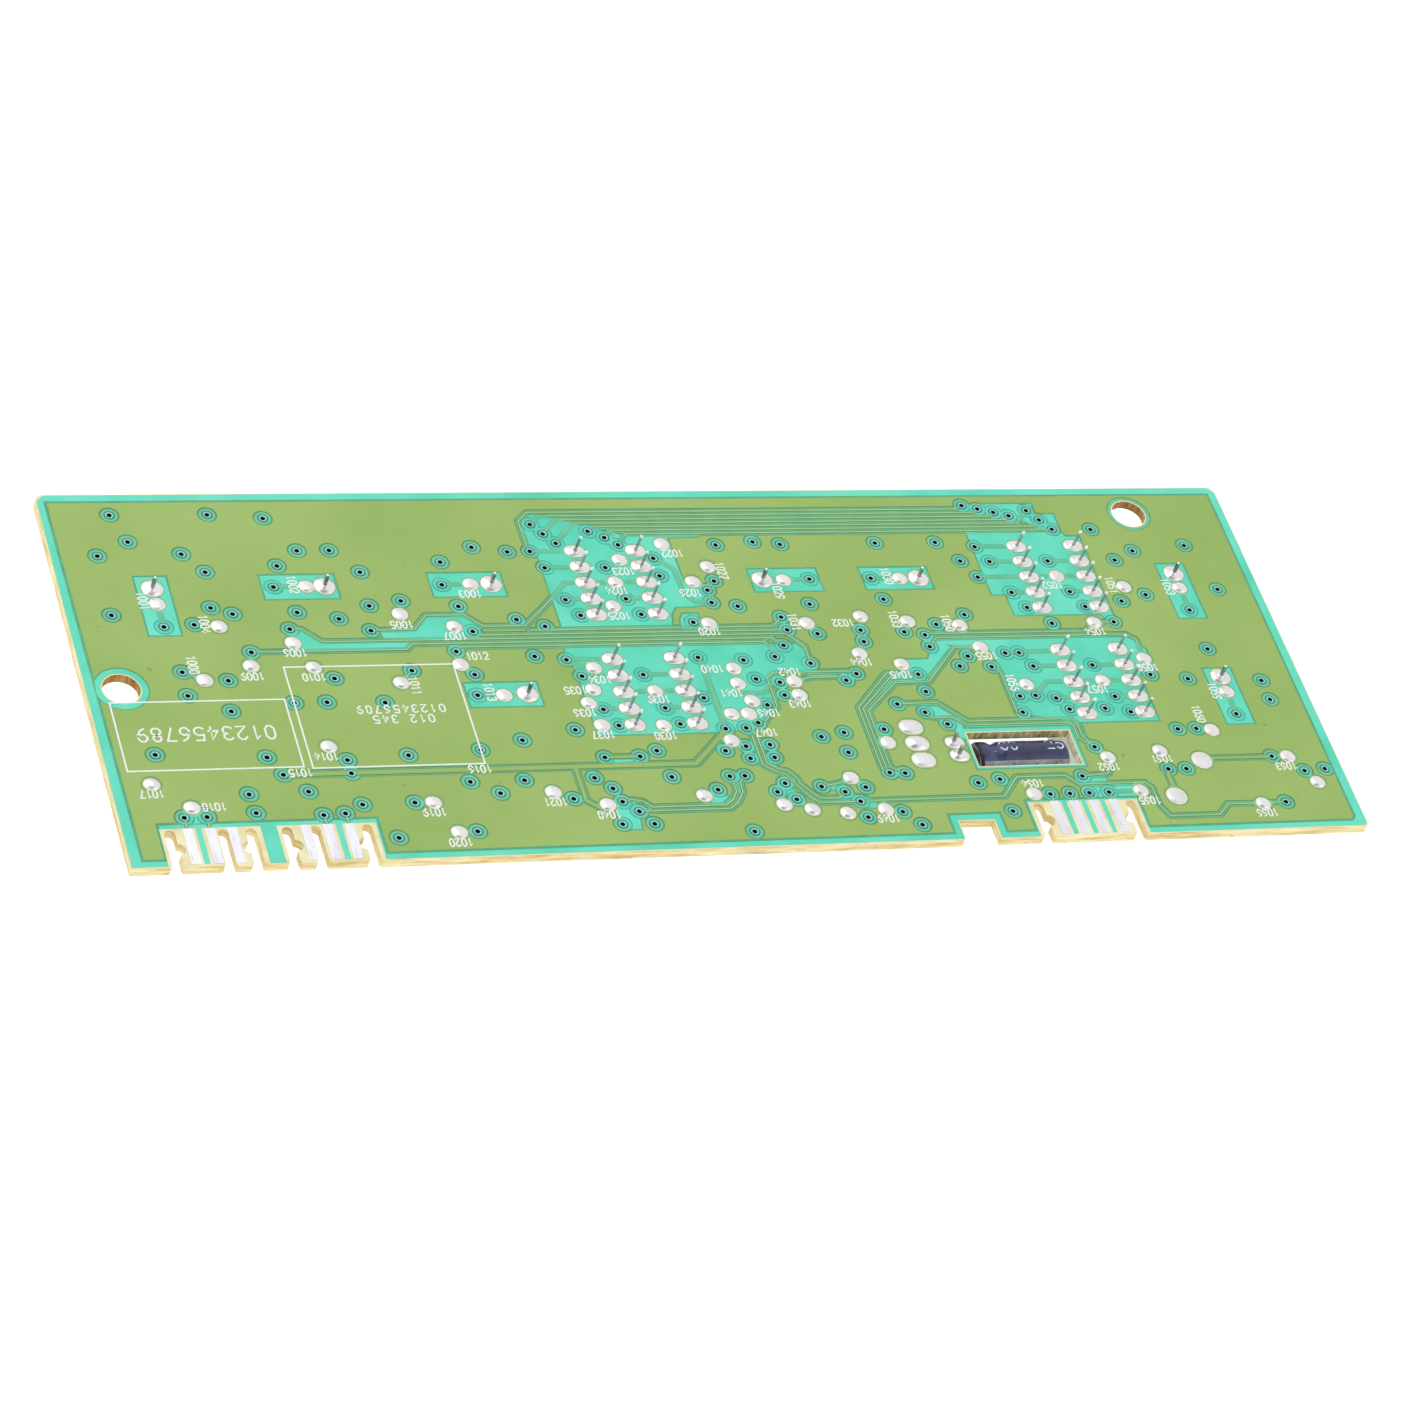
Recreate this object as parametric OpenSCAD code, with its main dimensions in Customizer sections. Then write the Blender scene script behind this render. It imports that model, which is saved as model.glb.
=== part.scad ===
// User interface board of a touch-control appliance, lying solder side up
// on the ends of its touch springs.  Millimetres, +Z up, origin under the
// middle of the board at the level of the spring ends.

/* [Board] */
// Length of the board along X
board_l = 150.2; // [150:0.1:151]
// Width of the board along Y
board_w = 55.9; // [55.6:0.1:56.4]
// Thickness of the laminate
board_t = 1.2; // [1:0.1:1.6]
// Radius of the two back corners
corner_r = 1; // [0.5:0.1:1.5]
// Radius of the two mounting holes
mount_r = 2.15; // [1.8:0.05:2.3]

/* [Capacitor window] */
// Length of the window that the capacitor lies in
window_l = 13.2; // [13:0.1:13.6]
// Width of the window
window_w = 5.2; // [5.2:0.1:5.8]

/* [Edge connectors] */
// Length of the coding slots, from the front edge
slot_d = 5.2; // [4.8:0.1:5.4]
// Width of the coding slots
slot_w = 1.2; // [1:0.05:1.2]
// Radius of the latching notches beside the slots
notch_r = 0.8; // [0.6:0.05:0.8]
// Width of one contact finger
finger_w = 1.1; // [0.9:0.05:1.1]
// Length of one contact finger
finger_l = 5.05; // [4.6:0.05:5.1]
// Thickness of the plated copper
finger_t = 0.05; // [0.04:0.01:0.08]

/* [Displays] */
// Width of a display housing
display_w = 10; // [9.6:0.1:10.2]
// Height of a display housing
display_h = 13; // [12.6:0.1:13.4]
// Depth of a display housing
display_d = 7; // [6:0.1:8]
// Radius of a display lead
lead_r = 0.18; // [0.16:0.01:0.25]
// Height of a display lead above the board
lead_up = 2.6; // [2:0.1:3]

/* [Touch springs] */
// Free height of a touch spring below the board
spring_h = 10; // [9:0.5:12]
// Mean radius of the spring coil
coil_r = 4.2; // [3.6:0.1:4.4]
// Radius of the spring wire
wire_r = 0.25; // [0.22:0.01:0.32]
// Number of turns
coil_turns = 6; // [5:1:6]
// Height of the spring pin above the board
pin_up = 1.9; // [1.5:0.1:3]

/* [Capacitor] */
// Diameter of the capacitor over its sleeve
cap_d = 5; // [4.8:0.1:5]
// Length of the capacitor
cap_l = 11.3; // [10.5:0.1:11.4]
// Height of the capacitor leads above the board
cap_up = 1.6; // [1:0.1:2]

/* [Hidden] */

$fn = 48;
top_z = spring_h + board_t;   // solder side
low_z = spring_h;             // component side
hole_r = 0.5;                 // plated hole of a lead
e = 0.5;                      // overshoot of a cutter

// Centres from the board's front left corner
mount_at = [[4.2, 25.9], [136.9, 51.4]];
window_at = [103.3, 11];
cutout_at = [98, 102.4, 2.8];             // left, right, depth
// left side of each coding slot, and the side its notch is on (0 for none)
left_slots = [[4.65, 1], [10.6, 0], [13.75, -1], [17.8, 1], [21, 0], [26.9, -1]];
right_slots = [[108.05, 1], [119.85, -1]];
left_fingers = [7.35, 9.85, 12.35, 20.6, 23.1, 25.6];
right_fingers = [110.85, 113.35, 115.85, 118.35];
display_at = [[66.6, 41], [66.6, 23.8], [123.65, 41], [123.65, 23.9]];
col_gap = 7.62;
row_gap = 2.54;
lead_xy = [for (s = [-1, 1], k = [-2:2]) [s * col_gap / 2, k * row_gap]];
key_at = [[10.8, 41], [31.05, 41], [51.15, 41], [85.05, 41.1], [105.2, 41],
    [139.4, 41.2], [51.15, 23.8], [139.45, 24.1]];
cap_x = 104.4;                            // sealed end of the capacitor
cap_y = 13.75;                            // axis of the capacitor
cap_z = top_z - 2.6;
cap_lead_x = 101.15;
cap_pad_x = 101.35;
cap_lead_gap = 2;
cap_lead_r = 0.25;
blank_oval = [[96.6, 17.3], [96.6, 14.75], [96.6, 12.2]];
blank_round = [[132.1, 10.95], [126.8, 5.55]];
test_points = [[17.3, 35], [39, 36.5], [25.35, 32.3], [45, 34.4], [19.7, 28.9], [26.9, 28.5],
    [13.9, 26.9], [36.6, 25.9], [44.3, 28.5], [25.9, 16.6], [4.7, 11.8], [8.5, 8.3],
    [36, 8], [37.9, 3.6], [50.3, 9], [74, 47.1], [68, 44.6], [66.5, 41],
    [65.2, 37.2], [76.2, 40.9], [78.75, 43.3], [76.3, 34.2], [88.6, 34], [95.75, 34.9],
    [101.55, 34], [93.8, 29], [60.2, 27.6], [59.2, 24.25], [58.1, 22.2], [58.8, 18.8],
    [66.2, 18.5], [66.65, 23.8], [77.3, 27.05], [77.15, 24.7], [78.1, 21.95], [75, 20],
    [77.1, 20], [73.8, 15.95], [84.25, 24.85], [84.25, 22.7], [98.6, 27.15], [56.25, 6.9],
    [68.1, 7.8], [93, 15.05], [86.7, 9.8], [77.35, 6.1], [80.55, 5.25], [84.7, 4.55],
    [89.5, 4.9], [131.9, 39.1], [123.55, 41.05], [108.1, 33.25], [125.85, 33.3], [109.6, 29.65],
    [113.55, 23.55], [123.65, 23.9], [130.35, 27.3], [135.15, 15.65], [127.15, 12.6], [120.1, 11.8],
    [143.6, 11.15], [146, 7], [137.6, 3.95], [122.5, 6.55], [108.75, 6.55]];
for_key_pads = [[10.9, 38.6], [28.9, 41], [48.65, 41], [87.75, 41], [102.8, 41],
    [139.35, 38.8], [48.3, 23.7], [139.4, 21.7]];
// hidden parts of the component side: x, y, turned or not
mcu_at = [66, 8.6];
touch_at = [32, 22.5];
driver_at = [[93, 27.6], [93, 10.4]];
reg_at = [42.5, 6.4];
resistor_at = [for (i = [0:5]) [13 + 3.4 * i, 30.6, 0], for (i = [0:4]) [78 + 3.2 * i, 46.5, 0],
    for (i = [0:5]) [80, 24 + 1.9 * i, 0], for (i = [0:5]) [111.5, 22 + 2 * i, 0],
    for (i = [0:4]) [111.5, 38 + 2 * i, 0], for (i = [0:3]) [52.5 + 2.4 * i, 14.4, 1]];
capacitor_at = [[55.8, 5, 1], [75.6, 8.6, 1], [66, 16.2, 0], [40, 17.5, 1], [23, 22.5, 1],
    [99.5, 30.5, 1], [86.5, 13, 1], [48, 11, 0], [36.5, 8.5, 1], [85.5, 28, 1],
    [128, 10.5, 0], [132.5, 7, 0], [112, 20, 0], [134, 33, 1]];
chip_l = 2;
chip_w = 1.25;
chip_cap = 0.35;

module at_board(z = 0) { translate([-board_l / 2, -board_w / 2, z]) children(); }

// ---- laminate ----
module corner_cut(x, y, sx, sy, r) {
    translate([x, y, -e]) difference() {
        translate([sx > 0 ? -e : -r, sy > 0 ? -e : -r, 0]) cube([r + e, r + e, board_t + 2 * e]);
        translate([sx * r, sy * r, -e]) cylinder(r = r, h = board_t + 4 * e);
    }
}

// rounds the front corner of a tongue: s is the side of the slot it faces
module entry_cut(x, s) {
    r = 0.4;
    translate([x, 0, -e]) difference() {
        translate([s > 0 ? -r : 0, -e, 0]) cube([r, r + e, board_t + 2 * e]);
        translate([-s * r, r, -e]) cylinder(r = r, h = board_t + 4 * e);
    }
}

module coding_slot(x, side) {
    translate([x, -e, -e]) cube([slot_w, slot_d - slot_w / 2 + e, board_t + 2 * e]);
    translate([x + slot_w / 2, slot_d - slot_w / 2, -e]) cylinder(d = slot_w, h = board_t + 2 * e);
    if (side != 0) translate([side > 0 ? x + slot_w : x, 2.5, -e]) cylinder(r = notch_r, h = board_t + 2 * e);
    entry_cut(x, 1);
    entry_cut(x + slot_w, -1);
}

module lead_holes() {
    for (d = display_at, p = lead_xy) translate([d[0] + p[0], d[1] + p[1], -e]) cylinder(r = hole_r, h = board_t + 2 * e, $fn = 24);
    for (k = key_at) translate([k[0], k[1], -e]) cylinder(r = hole_r, h = board_t + 2 * e, $fn = 24);
    for (s = [-1, 1]) translate([cap_lead_x, cap_y + s * cap_lead_gap / 2, -e]) cylinder(r = hole_r, h = board_t + 2 * e, $fn = 24);
    for (p = blank_oval) translate([p[0], p[1], -e]) cylinder(r = hole_r, h = board_t + 2 * e, $fn = 24);
    for (p = blank_round) translate([p[0], p[1], -e]) cylinder(r = hole_r, h = board_t + 2 * e, $fn = 24);
}

module circuit_board() {
    color([0.62, 0.74, 0.41]) at_board(low_z) difference() {
        cube([board_l, board_w, board_t]);
        corner_cut(0, board_w, 1, -1, corner_r);
        corner_cut(board_l, board_w, -1, -1, corner_r);
        corner_cut(board_l, 0, -1, 1, corner_r / 2);
        for (p = mount_at) translate([p[0], p[1], -e]) cylinder(r = mount_r, h = board_t + 2 * e);
        translate([window_at[0], window_at[1], -e]) cube([window_l, window_w, board_t + 2 * e]);
        translate([cutout_at[0], -e, -e]) cube([cutout_at[1] - cutout_at[0], cutout_at[2] + e, board_t + 2 * e]);
        entry_cut(cutout_at[0], 1);
        for (s = left_slots) coding_slot(s[0], s[1]);
        for (s = right_slots) coding_slot(s[0], s[1]);
        lead_holes();
    }
}

// ---- plated fingers on the solder side ----
module fingers(xs) {
    at_board(top_z) for (x = xs) translate([x - finger_w / 2, 0.35, 0]) cube([finger_w, finger_l, finger_t]);
}
module left_edge_contacts() { color([0.91, 0.89, 0.95]) fingers(left_fingers); }
module right_edge_contacts() { color([0.91, 0.89, 0.95]) fingers(right_fingers); }

// ---- seven-segment displays, face down ----
seg_t = 0.4;       // depth of a light segment
seg_a = 1.1;       // width of a segment
dig_w = 5.2;       // between the upright segments
dig_h = 8.6;       // between the level segments
lean = 0.14;       // slant of the digit
function slant(p) = [p[0] - lean * p[1], p[1]];
// six-sided bar from a to b, in the plane of the face
module bar_seg(a, b) {
    u = (b - a) / norm(b - a);
    n = [-u[1], u[0]] * seg_a / 2;
    s = u * seg_a / 2;
    g = u * 0.12;
    linear_extrude(height = seg_t) polygon([slant(a + g), slant(a + g + s + n), slant(b - g - s + n),
        slant(b - g), slant(b - g - s - n), slant(a + g + s - n)]);
}
module digit() {
    x = dig_w / 2;
    y = dig_h / 2;
    bar_seg([-x, -y], [x, -y]);
    bar_seg([-x, 0], [x, 0]);
    bar_seg([-x, y], [x, y]);
    bar_seg([-x, -y], [-x, 0]);
    bar_seg([-x, 0], [-x, y]);
    bar_seg([x, -y], [x, 0]);
    bar_seg([x, 0], [x, y]);
    translate([3.9, 4.6, 0]) cylinder(r = 0.6, h = seg_t, $fn = 24);
}
module display_housing(i) {
    color([0.9, 0.9, 0.87]) at_board(low_z - display_d) translate([display_at[i][0], display_at[i][1], 0]) difference() {
        translate([-display_w / 2, -display_h / 2, 0]) cube([display_w, display_h, display_d]);
        digit();
        for (p = lead_xy) translate([p[0], p[1], display_d - 1.5]) cylinder(r = lead_r, h = 2, $fn = 24);
    }
}
module display_segments(i) {
    color([0.95, 0.95, 0.93]) at_board(low_z - display_d) translate([display_at[i][0], display_at[i][1], 0]) digit();
}
module display_leads(i) {
    color([0.55, 0.55, 0.56]) at_board(low_z - 1.5) translate([display_at[i][0], display_at[i][1], 0])
        for (p = lead_xy) translate([p[0], p[1], 0]) cylinder(r = lead_r, h = 1.5 + board_t + lead_up, $fn = 24);
}
module display_1_housing() { display_housing(0); }
module display_2_housing() { display_housing(1); }
module display_3_housing() { display_housing(2); }
module display_4_housing() { display_housing(3); }
module display_1_segments() { display_segments(0); }
module display_2_segments() { display_segments(1); }
module display_3_segments() { display_segments(2); }
module display_4_segments() { display_segments(3); }
module display_1_leads() { display_leads(0); }
module display_2_leads() { display_leads(1); }
module display_3_leads() { display_leads(2); }
module display_4_leads() { display_leads(3); }

// ---- touch springs ----
steps = 14;        // rings in one turn
flat_turn = 0.6;   // closed part of each end turn
function rise(t) = let (a = max(0, min(1, (t - flat_turn) / (coil_turns - 2 * flat_turn)))) wire_r + a * (spring_h - 2 * wire_r);
function coil_pt(t) = [coil_r * cos(360 * t), coil_r * sin(360 * t), rise(t)];
arm = [[0.96, 0.13], [0.86, 0.19], [0.7, 0.17], [0.35, 0.08], [0.01, 0]];
coil_path = [for (k = [0:coil_turns * steps]) coil_pt(k / steps),
    for (a = arm) [coil_r * a[0], coil_r * a[1], spring_h - wire_r]];
function unit(v) = v / norm(v);
function tangent(p, i) = unit(p[min(i + 1, len(p) - 1)] - p[max(i - 1, 0)]);
function ring(p, i, r, n) = let (t = tangent(p, i), s = unit(cross([0, 0, 1], t)), b = cross(t, s))
    [for (k = [0:n - 1]) p[i] + r * (cos(30 + 360 * k / n) * s + sin(30 + 360 * k / n) * b)];
module wire(p, r, n = 6) {
    m = len(p);
    pts = [for (i = [0:m - 1], q = ring(p, i, r, n)) q];
    sides = [for (i = [0:m - 2], k = [0:n - 1], h = [0, 1])
        h == 0 ? [i * n + k, (i + 1) * n + k, i * n + (k + 1) % n]
               : [i * n + (k + 1) % n, (i + 1) * n + k, (i + 1) * n + (k + 1) % n]];
    polyhedron(points = pts, faces = concat([[for (k = [0:n - 1]) k]], sides,
        [[for (k = [n - 1:-1:0]) (m - 1) * n + k]]), convexity = 10);
}
module touch_spring(i) {
    color([0.75, 0.74, 0.72]) at_board(0) translate([key_at[i][0], key_at[i][1], 0]) {
        wire(coil_path, wire_r);
        translate([0, 0, spring_h - 2 * wire_r]) cylinder(r = wire_r, h = 2 * wire_r + board_t + pin_up, $fn = 24);
    }
}
module touch_spring_1() { touch_spring(0); }
module touch_spring_2() { touch_spring(1); }
module touch_spring_3() { touch_spring(2); }
module touch_spring_4() { touch_spring(3); }
module touch_spring_5() { touch_spring(4); }
module touch_spring_6() { touch_spring(5); }
module touch_spring_7() { touch_spring(6); }
module touch_spring_8() { touch_spring(7); }

// ---- electrolytic capacitor, axis along X, in the window ----
sleeve_t = 0.1;
seal_l = 1.2;
can_r = cap_d / 2 - sleeve_t;
groove_x = 2.0;
groove_d = 0.25;
// half outline of the can over its length, with the crimp groove, then the lip
module can_solid(r, l) {
    rotate([0, 90, 0]) rotate_extrude() polygon([[0, 0], [r - 0.15, 0], [r, 0.15], [r, groove_x - 0.9], [r - groove_d, groove_x - 0.3],
        [r - groove_d, groove_x + 0.3], [r, groove_x + 0.9], [r, l - 0.4], [r - 0.4, l], [0, l]]);
}
module seal_solid() { rotate([0, 90, 0]) cylinder(r = can_r - 0.35, h = seal_l); }
module cap_lead_pair(r, in = 1) {
    for (s = [-1, 1]) translate([0, s * cap_lead_gap / 2, 0]) rotate([0, 90, 0]) translate([0, 0, -0.01]) cylinder(r = r, h = in + 0.01, $fn = 24);
}
module capacitor_can() {
    color([0.8, 0.8, 0.82]) at_board(0) translate([cap_x, cap_y, cap_z]) difference() {
        can_solid(can_r, cap_l - sleeve_t);
        seal_solid();
        translate([-0.5, 0, 0]) rotate([0, 90, 0]) cylinder(r = can_r - 0.35, h = 0.6);
    }
}
module capacitor_sleeve() {
    color([0.24, 0.27, 0.44]) at_board(0) translate([cap_x, cap_y, cap_z]) rotate([0, 90, 0]) rotate_extrude() polygon([
        [can_r - 0.15, -sleeve_t], [can_r, 0], [can_r, 0.15],
        [can_r, 0.15], [can_r, groove_x - 0.9], [can_r - groove_d, groove_x - 0.3], [can_r - groove_d, groove_x + 0.3], [can_r, groove_x + 0.9],
        [can_r, cap_l - sleeve_t - 0.4], [can_r - 0.4, cap_l - sleeve_t], [can_r - 1, cap_l - sleeve_t], [can_r - 1, cap_l], [can_r - 0.3, cap_l],
        [can_r + sleeve_t, cap_l - 0.5], [can_r + sleeve_t, groove_x + 0.95], [can_r + sleeve_t - groove_d, groove_x + 0.35],
        [can_r + sleeve_t - groove_d, groove_x - 0.35], [can_r + sleeve_t, groove_x - 0.95], [can_r + sleeve_t, 0.1], [can_r, -sleeve_t]]);
}
module capacitor_seal() {
    color([0.1, 0.1, 0.1]) at_board(0) translate([cap_x, cap_y, cap_z]) difference() {
        seal_solid();
        for (s = [-1, 1]) translate([-0.1, s * cap_lead_gap / 2, 0]) rotate([0, 90, 0]) cylinder(r = cap_lead_r, h = seal_l + 0.2, $fn = 24);
    }
}
module capacitor_leads() {
    br = 0.8;
    color([0.75, 0.75, 0.76]) at_board(0) for (s = [-1, 1]) translate([0, cap_y + s * cap_lead_gap / 2, cap_z]) {
        translate([cap_lead_x + br, 0, 0]) rotate([0, 90, 0]) cylinder(r = cap_lead_r, h = cap_x + seal_l - cap_lead_x - br, $fn = 24);
        translate([cap_lead_x + br, 0, br]) rotate([90, 0, 0]) rotate([0, 0, 180]) rotate_extrude(angle = 90) translate([br, 0]) circle(r = cap_lead_r, $fn = 24);
        translate([cap_lead_x, 0, br]) cylinder(r = cap_lead_r, h = top_z - cap_z - br + cap_up, $fn = 24);
    }
}

// ---- packages with bent leads on the component side ----
// outline of one lead, from its foot at the left to the package at the right
module gull(w, reach, up) {
    t = 0.15;
    translate([0, w / 2, 0]) rotate([90, 0, 0]) linear_extrude(height = w) polygon([[0, 0], [0.6, 0], [0.6, -up + t], [reach, -up + t],
        [reach, -up], [0.45, -up], [0.45, -t], [0, -t]]);
}
// n leads on each of the two long sides
module gull_rows(n, pitch, w, body_w, reach, up) {
    for (a = [0, 180], k = [0:n - 1]) rotate([0, 0, a]) translate([-body_w / 2 - reach, (k - (n - 1) / 2) * pitch, 0]) gull(w, reach, up);
}
module package(l, w, h, gap) { translate([-l / 2, -w / 2, -gap - h]) cube([l, w, h]); }

module microcontroller_body() {
    color([0.13, 0.13, 0.14]) at_board(low_z) translate([mcu_at[0], mcu_at[1], 0]) difference() {
        package(10, 10, 1.4, 0.1);
        translate([-3.8, 3.8, -1.6]) cylinder(r = 0.5, h = 0.2, $fn = 24);
    }
}
module microcontroller_leads() {
    color([0.8, 0.8, 0.8]) at_board(low_z) translate([mcu_at[0], mcu_at[1], 0]) {
        gull_rows(11, 0.8, 0.35, 10, 1, 0.8);
        rotate([0, 0, 90]) gull_rows(11, 0.8, 0.35, 10, 1, 0.8);
    }
}
module touch_chip_body() {
    color([0.13, 0.13, 0.14]) at_board(low_z) translate([touch_at[0], touch_at[1], 0]) package(5.3, 10.2, 1.6, 0.1);
}
module touch_chip_leads() {
    color([0.8, 0.8, 0.8]) at_board(low_z) translate([touch_at[0], touch_at[1], 0]) gull_rows(14, 0.65, 0.3, 5.3, 1.2, 0.9);
}
module display_driver_bodies() {
    color([0.13, 0.13, 0.14]) at_board(low_z) for (p = driver_at) translate([p[0], p[1], 0]) package(3.9, 9.9, 1.5, 0.1);
}
module display_driver_leads() {
    color([0.8, 0.8, 0.8]) at_board(low_z) for (p = driver_at) translate([p[0], p[1], 0]) gull_rows(8, 1.27, 0.4, 3.9, 1.05, 0.85);
}
module regulator_body() {
    color([0.13, 0.13, 0.14]) at_board(low_z) translate([reg_at[0], reg_at[1], 0]) package(3.5, 6.5, 1.6, 0.05);
}
module regulator_leads() {
    color([0.8, 0.8, 0.8]) at_board(low_z) translate([reg_at[0], reg_at[1], 0]) {
        for (k = [-1:1]) translate([-3.5 / 2 - 1.6, k * 2.3, 0]) gull(0.7, 1.6, 0.9);
        rotate([0, 0, 180]) translate([-3.5 / 2 - 1.6, 0, 0]) gull(3, 1.6, 0.9);
    }
}

// ---- chip resistors and ceramic capacitors ----
module chip_place(p) { at_board(low_z) translate([p[0], p[1], 0]) rotate([0, 0, p[2] * 90]) children(); }
module chip_resistors() {
    l = chip_l - 2 * chip_cap;
    color([0.12, 0.12, 0.13]) for (p = resistor_at) chip_place(p) translate([-l / 2, -chip_w / 2, -0.5]) cube([l, chip_w, 0.5]);
}
module chip_capacitors() {
    l = chip_l - 2 * chip_cap;
    color([0.72, 0.6, 0.45]) for (p = capacitor_at) chip_place(p) translate([-l / 2, -chip_w / 2, -0.85]) cube([l, chip_w, 0.85]);
}
module chip_end_terminals() {
    color([0.85, 0.85, 0.85]) {
        for (p = resistor_at, s = [-1, 1]) chip_place(p) translate([s > 0 ? chip_l / 2 - chip_cap : -chip_l / 2, -chip_w / 2, -0.5]) cube([chip_cap, chip_w, 0.5]);
        for (p = capacitor_at, s = [-1, 1]) chip_place(p) translate([s > 0 ? chip_l / 2 - chip_cap : -chip_l / 2, -chip_w / 2, -0.85]) cube([chip_cap, chip_w, 0.85]);
    }
}

// ---- solder ----
// joint round a lead of radius r: plug in the plated hole, pad and cone; dx moves the pad off the lead
module joint(r, pad_l, pad_w, up, dx = 0) {
    difference() {
        union() {
            translate([0, 0, -board_t]) cylinder(r = hole_r, h = board_t + 0.05, $fn = 24);
            if (pad_l > pad_w) {
                translate([dx - (pad_l - pad_w) / 2, -pad_w / 2, 0]) cube([pad_l - pad_w, pad_w, 0.12]);
                for (s = [-1, 1]) translate([dx + s * (pad_l - pad_w) / 2, 0, 0]) cylinder(d = pad_w, h = 0.12, $fn = 32);
            } else {
                cylinder(d = pad_w, h = 0.12, $fn = 32);
            }
            rotate_extrude($fn = 32) polygon([[0, 0], [pad_w / 2 - 0.05, 0], [pad_w / 2 - 0.05, 0.12], [pad_w / 2 - 0.3, 0.24], [r + 0.12, up], [0, up]]);
        }
        translate([0, 0, -board_t - e]) cylinder(r = r, h = board_t + up + 2 * e, $fn = 24);
    }
}
module dome(d, h) {
    rotate_extrude($fn = 32) polygon([[0, 0], [d / 2, 0], [d / 2 - 0.05, h * 0.35], [d / 2 - 0.3, h * 0.75], [d / 4, h * 0.95], [0, h]]);
}
module display_solder() {
    color([0.88, 0.86, 0.85]) at_board(top_z) for (d = display_at, p = lead_xy) translate([d[0] + p[0], d[1] + p[1], 0]) joint(lead_r, 2.6, 2, 0.5);
}
module spring_solder() {
    color([0.88, 0.86, 0.85]) at_board(top_z) for (k = key_at) translate([k[0], k[1], 0]) joint(wire_r, 2.65, 2.65, 0.5);
}
module capacitor_solder() {
    color([0.88, 0.86, 0.85]) at_board(top_z) for (s = [-1, 1]) translate([cap_lead_x, cap_y + s * cap_lead_gap / 2, 0]) joint(cap_lead_r, 2.5, 1.95, 0.5, cap_pad_x - cap_lead_x);
}
module test_point_solder() {
    color([0.88, 0.86, 0.85]) at_board(top_z) {
        for (p = test_points) translate([p[0], p[1], 0]) dome(2, 0.35);
        for (p = for_key_pads) translate([p[0], p[1], 0]) dome(2, 0.35);
    }
}
module blank_pad_solder() {
    color([0.88, 0.86, 0.85]) at_board(top_z) {
        for (p = blank_oval) translate([p[0], p[1], 0]) {
            translate([0, 0, -board_t]) cylinder(r = hole_r, h = board_t + 0.05, $fn = 24);
            translate([-0.35, -1.2, 0]) cube([0.7, 2.4, 0.12]);
            for (s = [-1, 1]) translate([s * 0.35, 0, 0]) cylinder(d = 2.4, h = 0.12, $fn = 32);
            dome(2.3, 0.45);
        }
        for (p = blank_round) translate([p[0], p[1], 0]) {
            translate([0, 0, -board_t]) cylinder(r = hole_r, h = board_t + 0.05, $fn = 24);
            dome(2.7, 0.55);
        }
    }
}

circuit_board();
left_edge_contacts();
right_edge_contacts();
display_1_housing();
display_2_housing();
display_3_housing();
display_4_housing();
display_1_segments();
display_2_segments();
display_3_segments();
display_4_segments();
display_1_leads();
display_2_leads();
display_3_leads();
display_4_leads();
touch_spring_1();
touch_spring_2();
touch_spring_3();
touch_spring_4();
touch_spring_5();
touch_spring_6();
touch_spring_7();
touch_spring_8();
capacitor_can();
capacitor_sleeve();
capacitor_seal();
capacitor_leads();
microcontroller_body();
microcontroller_leads();
touch_chip_body();
touch_chip_leads();
display_driver_bodies();
display_driver_leads();
regulator_body();
regulator_leads();
chip_resistors();
chip_capacitors();
chip_end_terminals();
display_solder();
spring_solder();
capacitor_solder();
test_point_solder();
blank_pad_solder();
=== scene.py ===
# User interface board, solder side up. All positions below are board millimetres,
# from the front left corner of the board as the frame gives it.
import math
import random

import bpy
import numpy as np
from mathutils import Matrix, Vector
from mathutils.geometry import delaunay_2d_cdt


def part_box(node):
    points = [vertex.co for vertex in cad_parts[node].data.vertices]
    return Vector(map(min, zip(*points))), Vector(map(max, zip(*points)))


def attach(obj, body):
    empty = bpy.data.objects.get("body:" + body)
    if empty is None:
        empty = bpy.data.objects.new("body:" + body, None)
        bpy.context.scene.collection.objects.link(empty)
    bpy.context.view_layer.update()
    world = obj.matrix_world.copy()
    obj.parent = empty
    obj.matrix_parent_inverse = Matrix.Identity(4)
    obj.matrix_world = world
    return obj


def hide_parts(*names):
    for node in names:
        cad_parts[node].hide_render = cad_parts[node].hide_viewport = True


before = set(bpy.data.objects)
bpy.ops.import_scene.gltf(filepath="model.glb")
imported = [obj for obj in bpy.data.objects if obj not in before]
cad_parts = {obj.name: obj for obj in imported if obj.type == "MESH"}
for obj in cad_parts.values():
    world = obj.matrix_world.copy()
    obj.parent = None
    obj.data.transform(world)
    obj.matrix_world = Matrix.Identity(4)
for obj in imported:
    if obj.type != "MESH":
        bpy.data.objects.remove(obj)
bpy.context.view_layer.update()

MM = 0.001
blo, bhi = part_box("circuit_board")
OX, OY, ZB, ZT = blo.x / MM, blo.y / MM, blo.z / MM, bhi.z / MM
LB, WB = (bhi.x - blo.x) / MM, (bhi.y - blo.y) / MM
PIN_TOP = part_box("display_1_leads")[1].z / MM
SPRING_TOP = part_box("touch_spring_1")[1].z / MM
CAP_PIN_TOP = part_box("capacitor_leads")[1].z / MM
rnd = random.Random(7)

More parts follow.
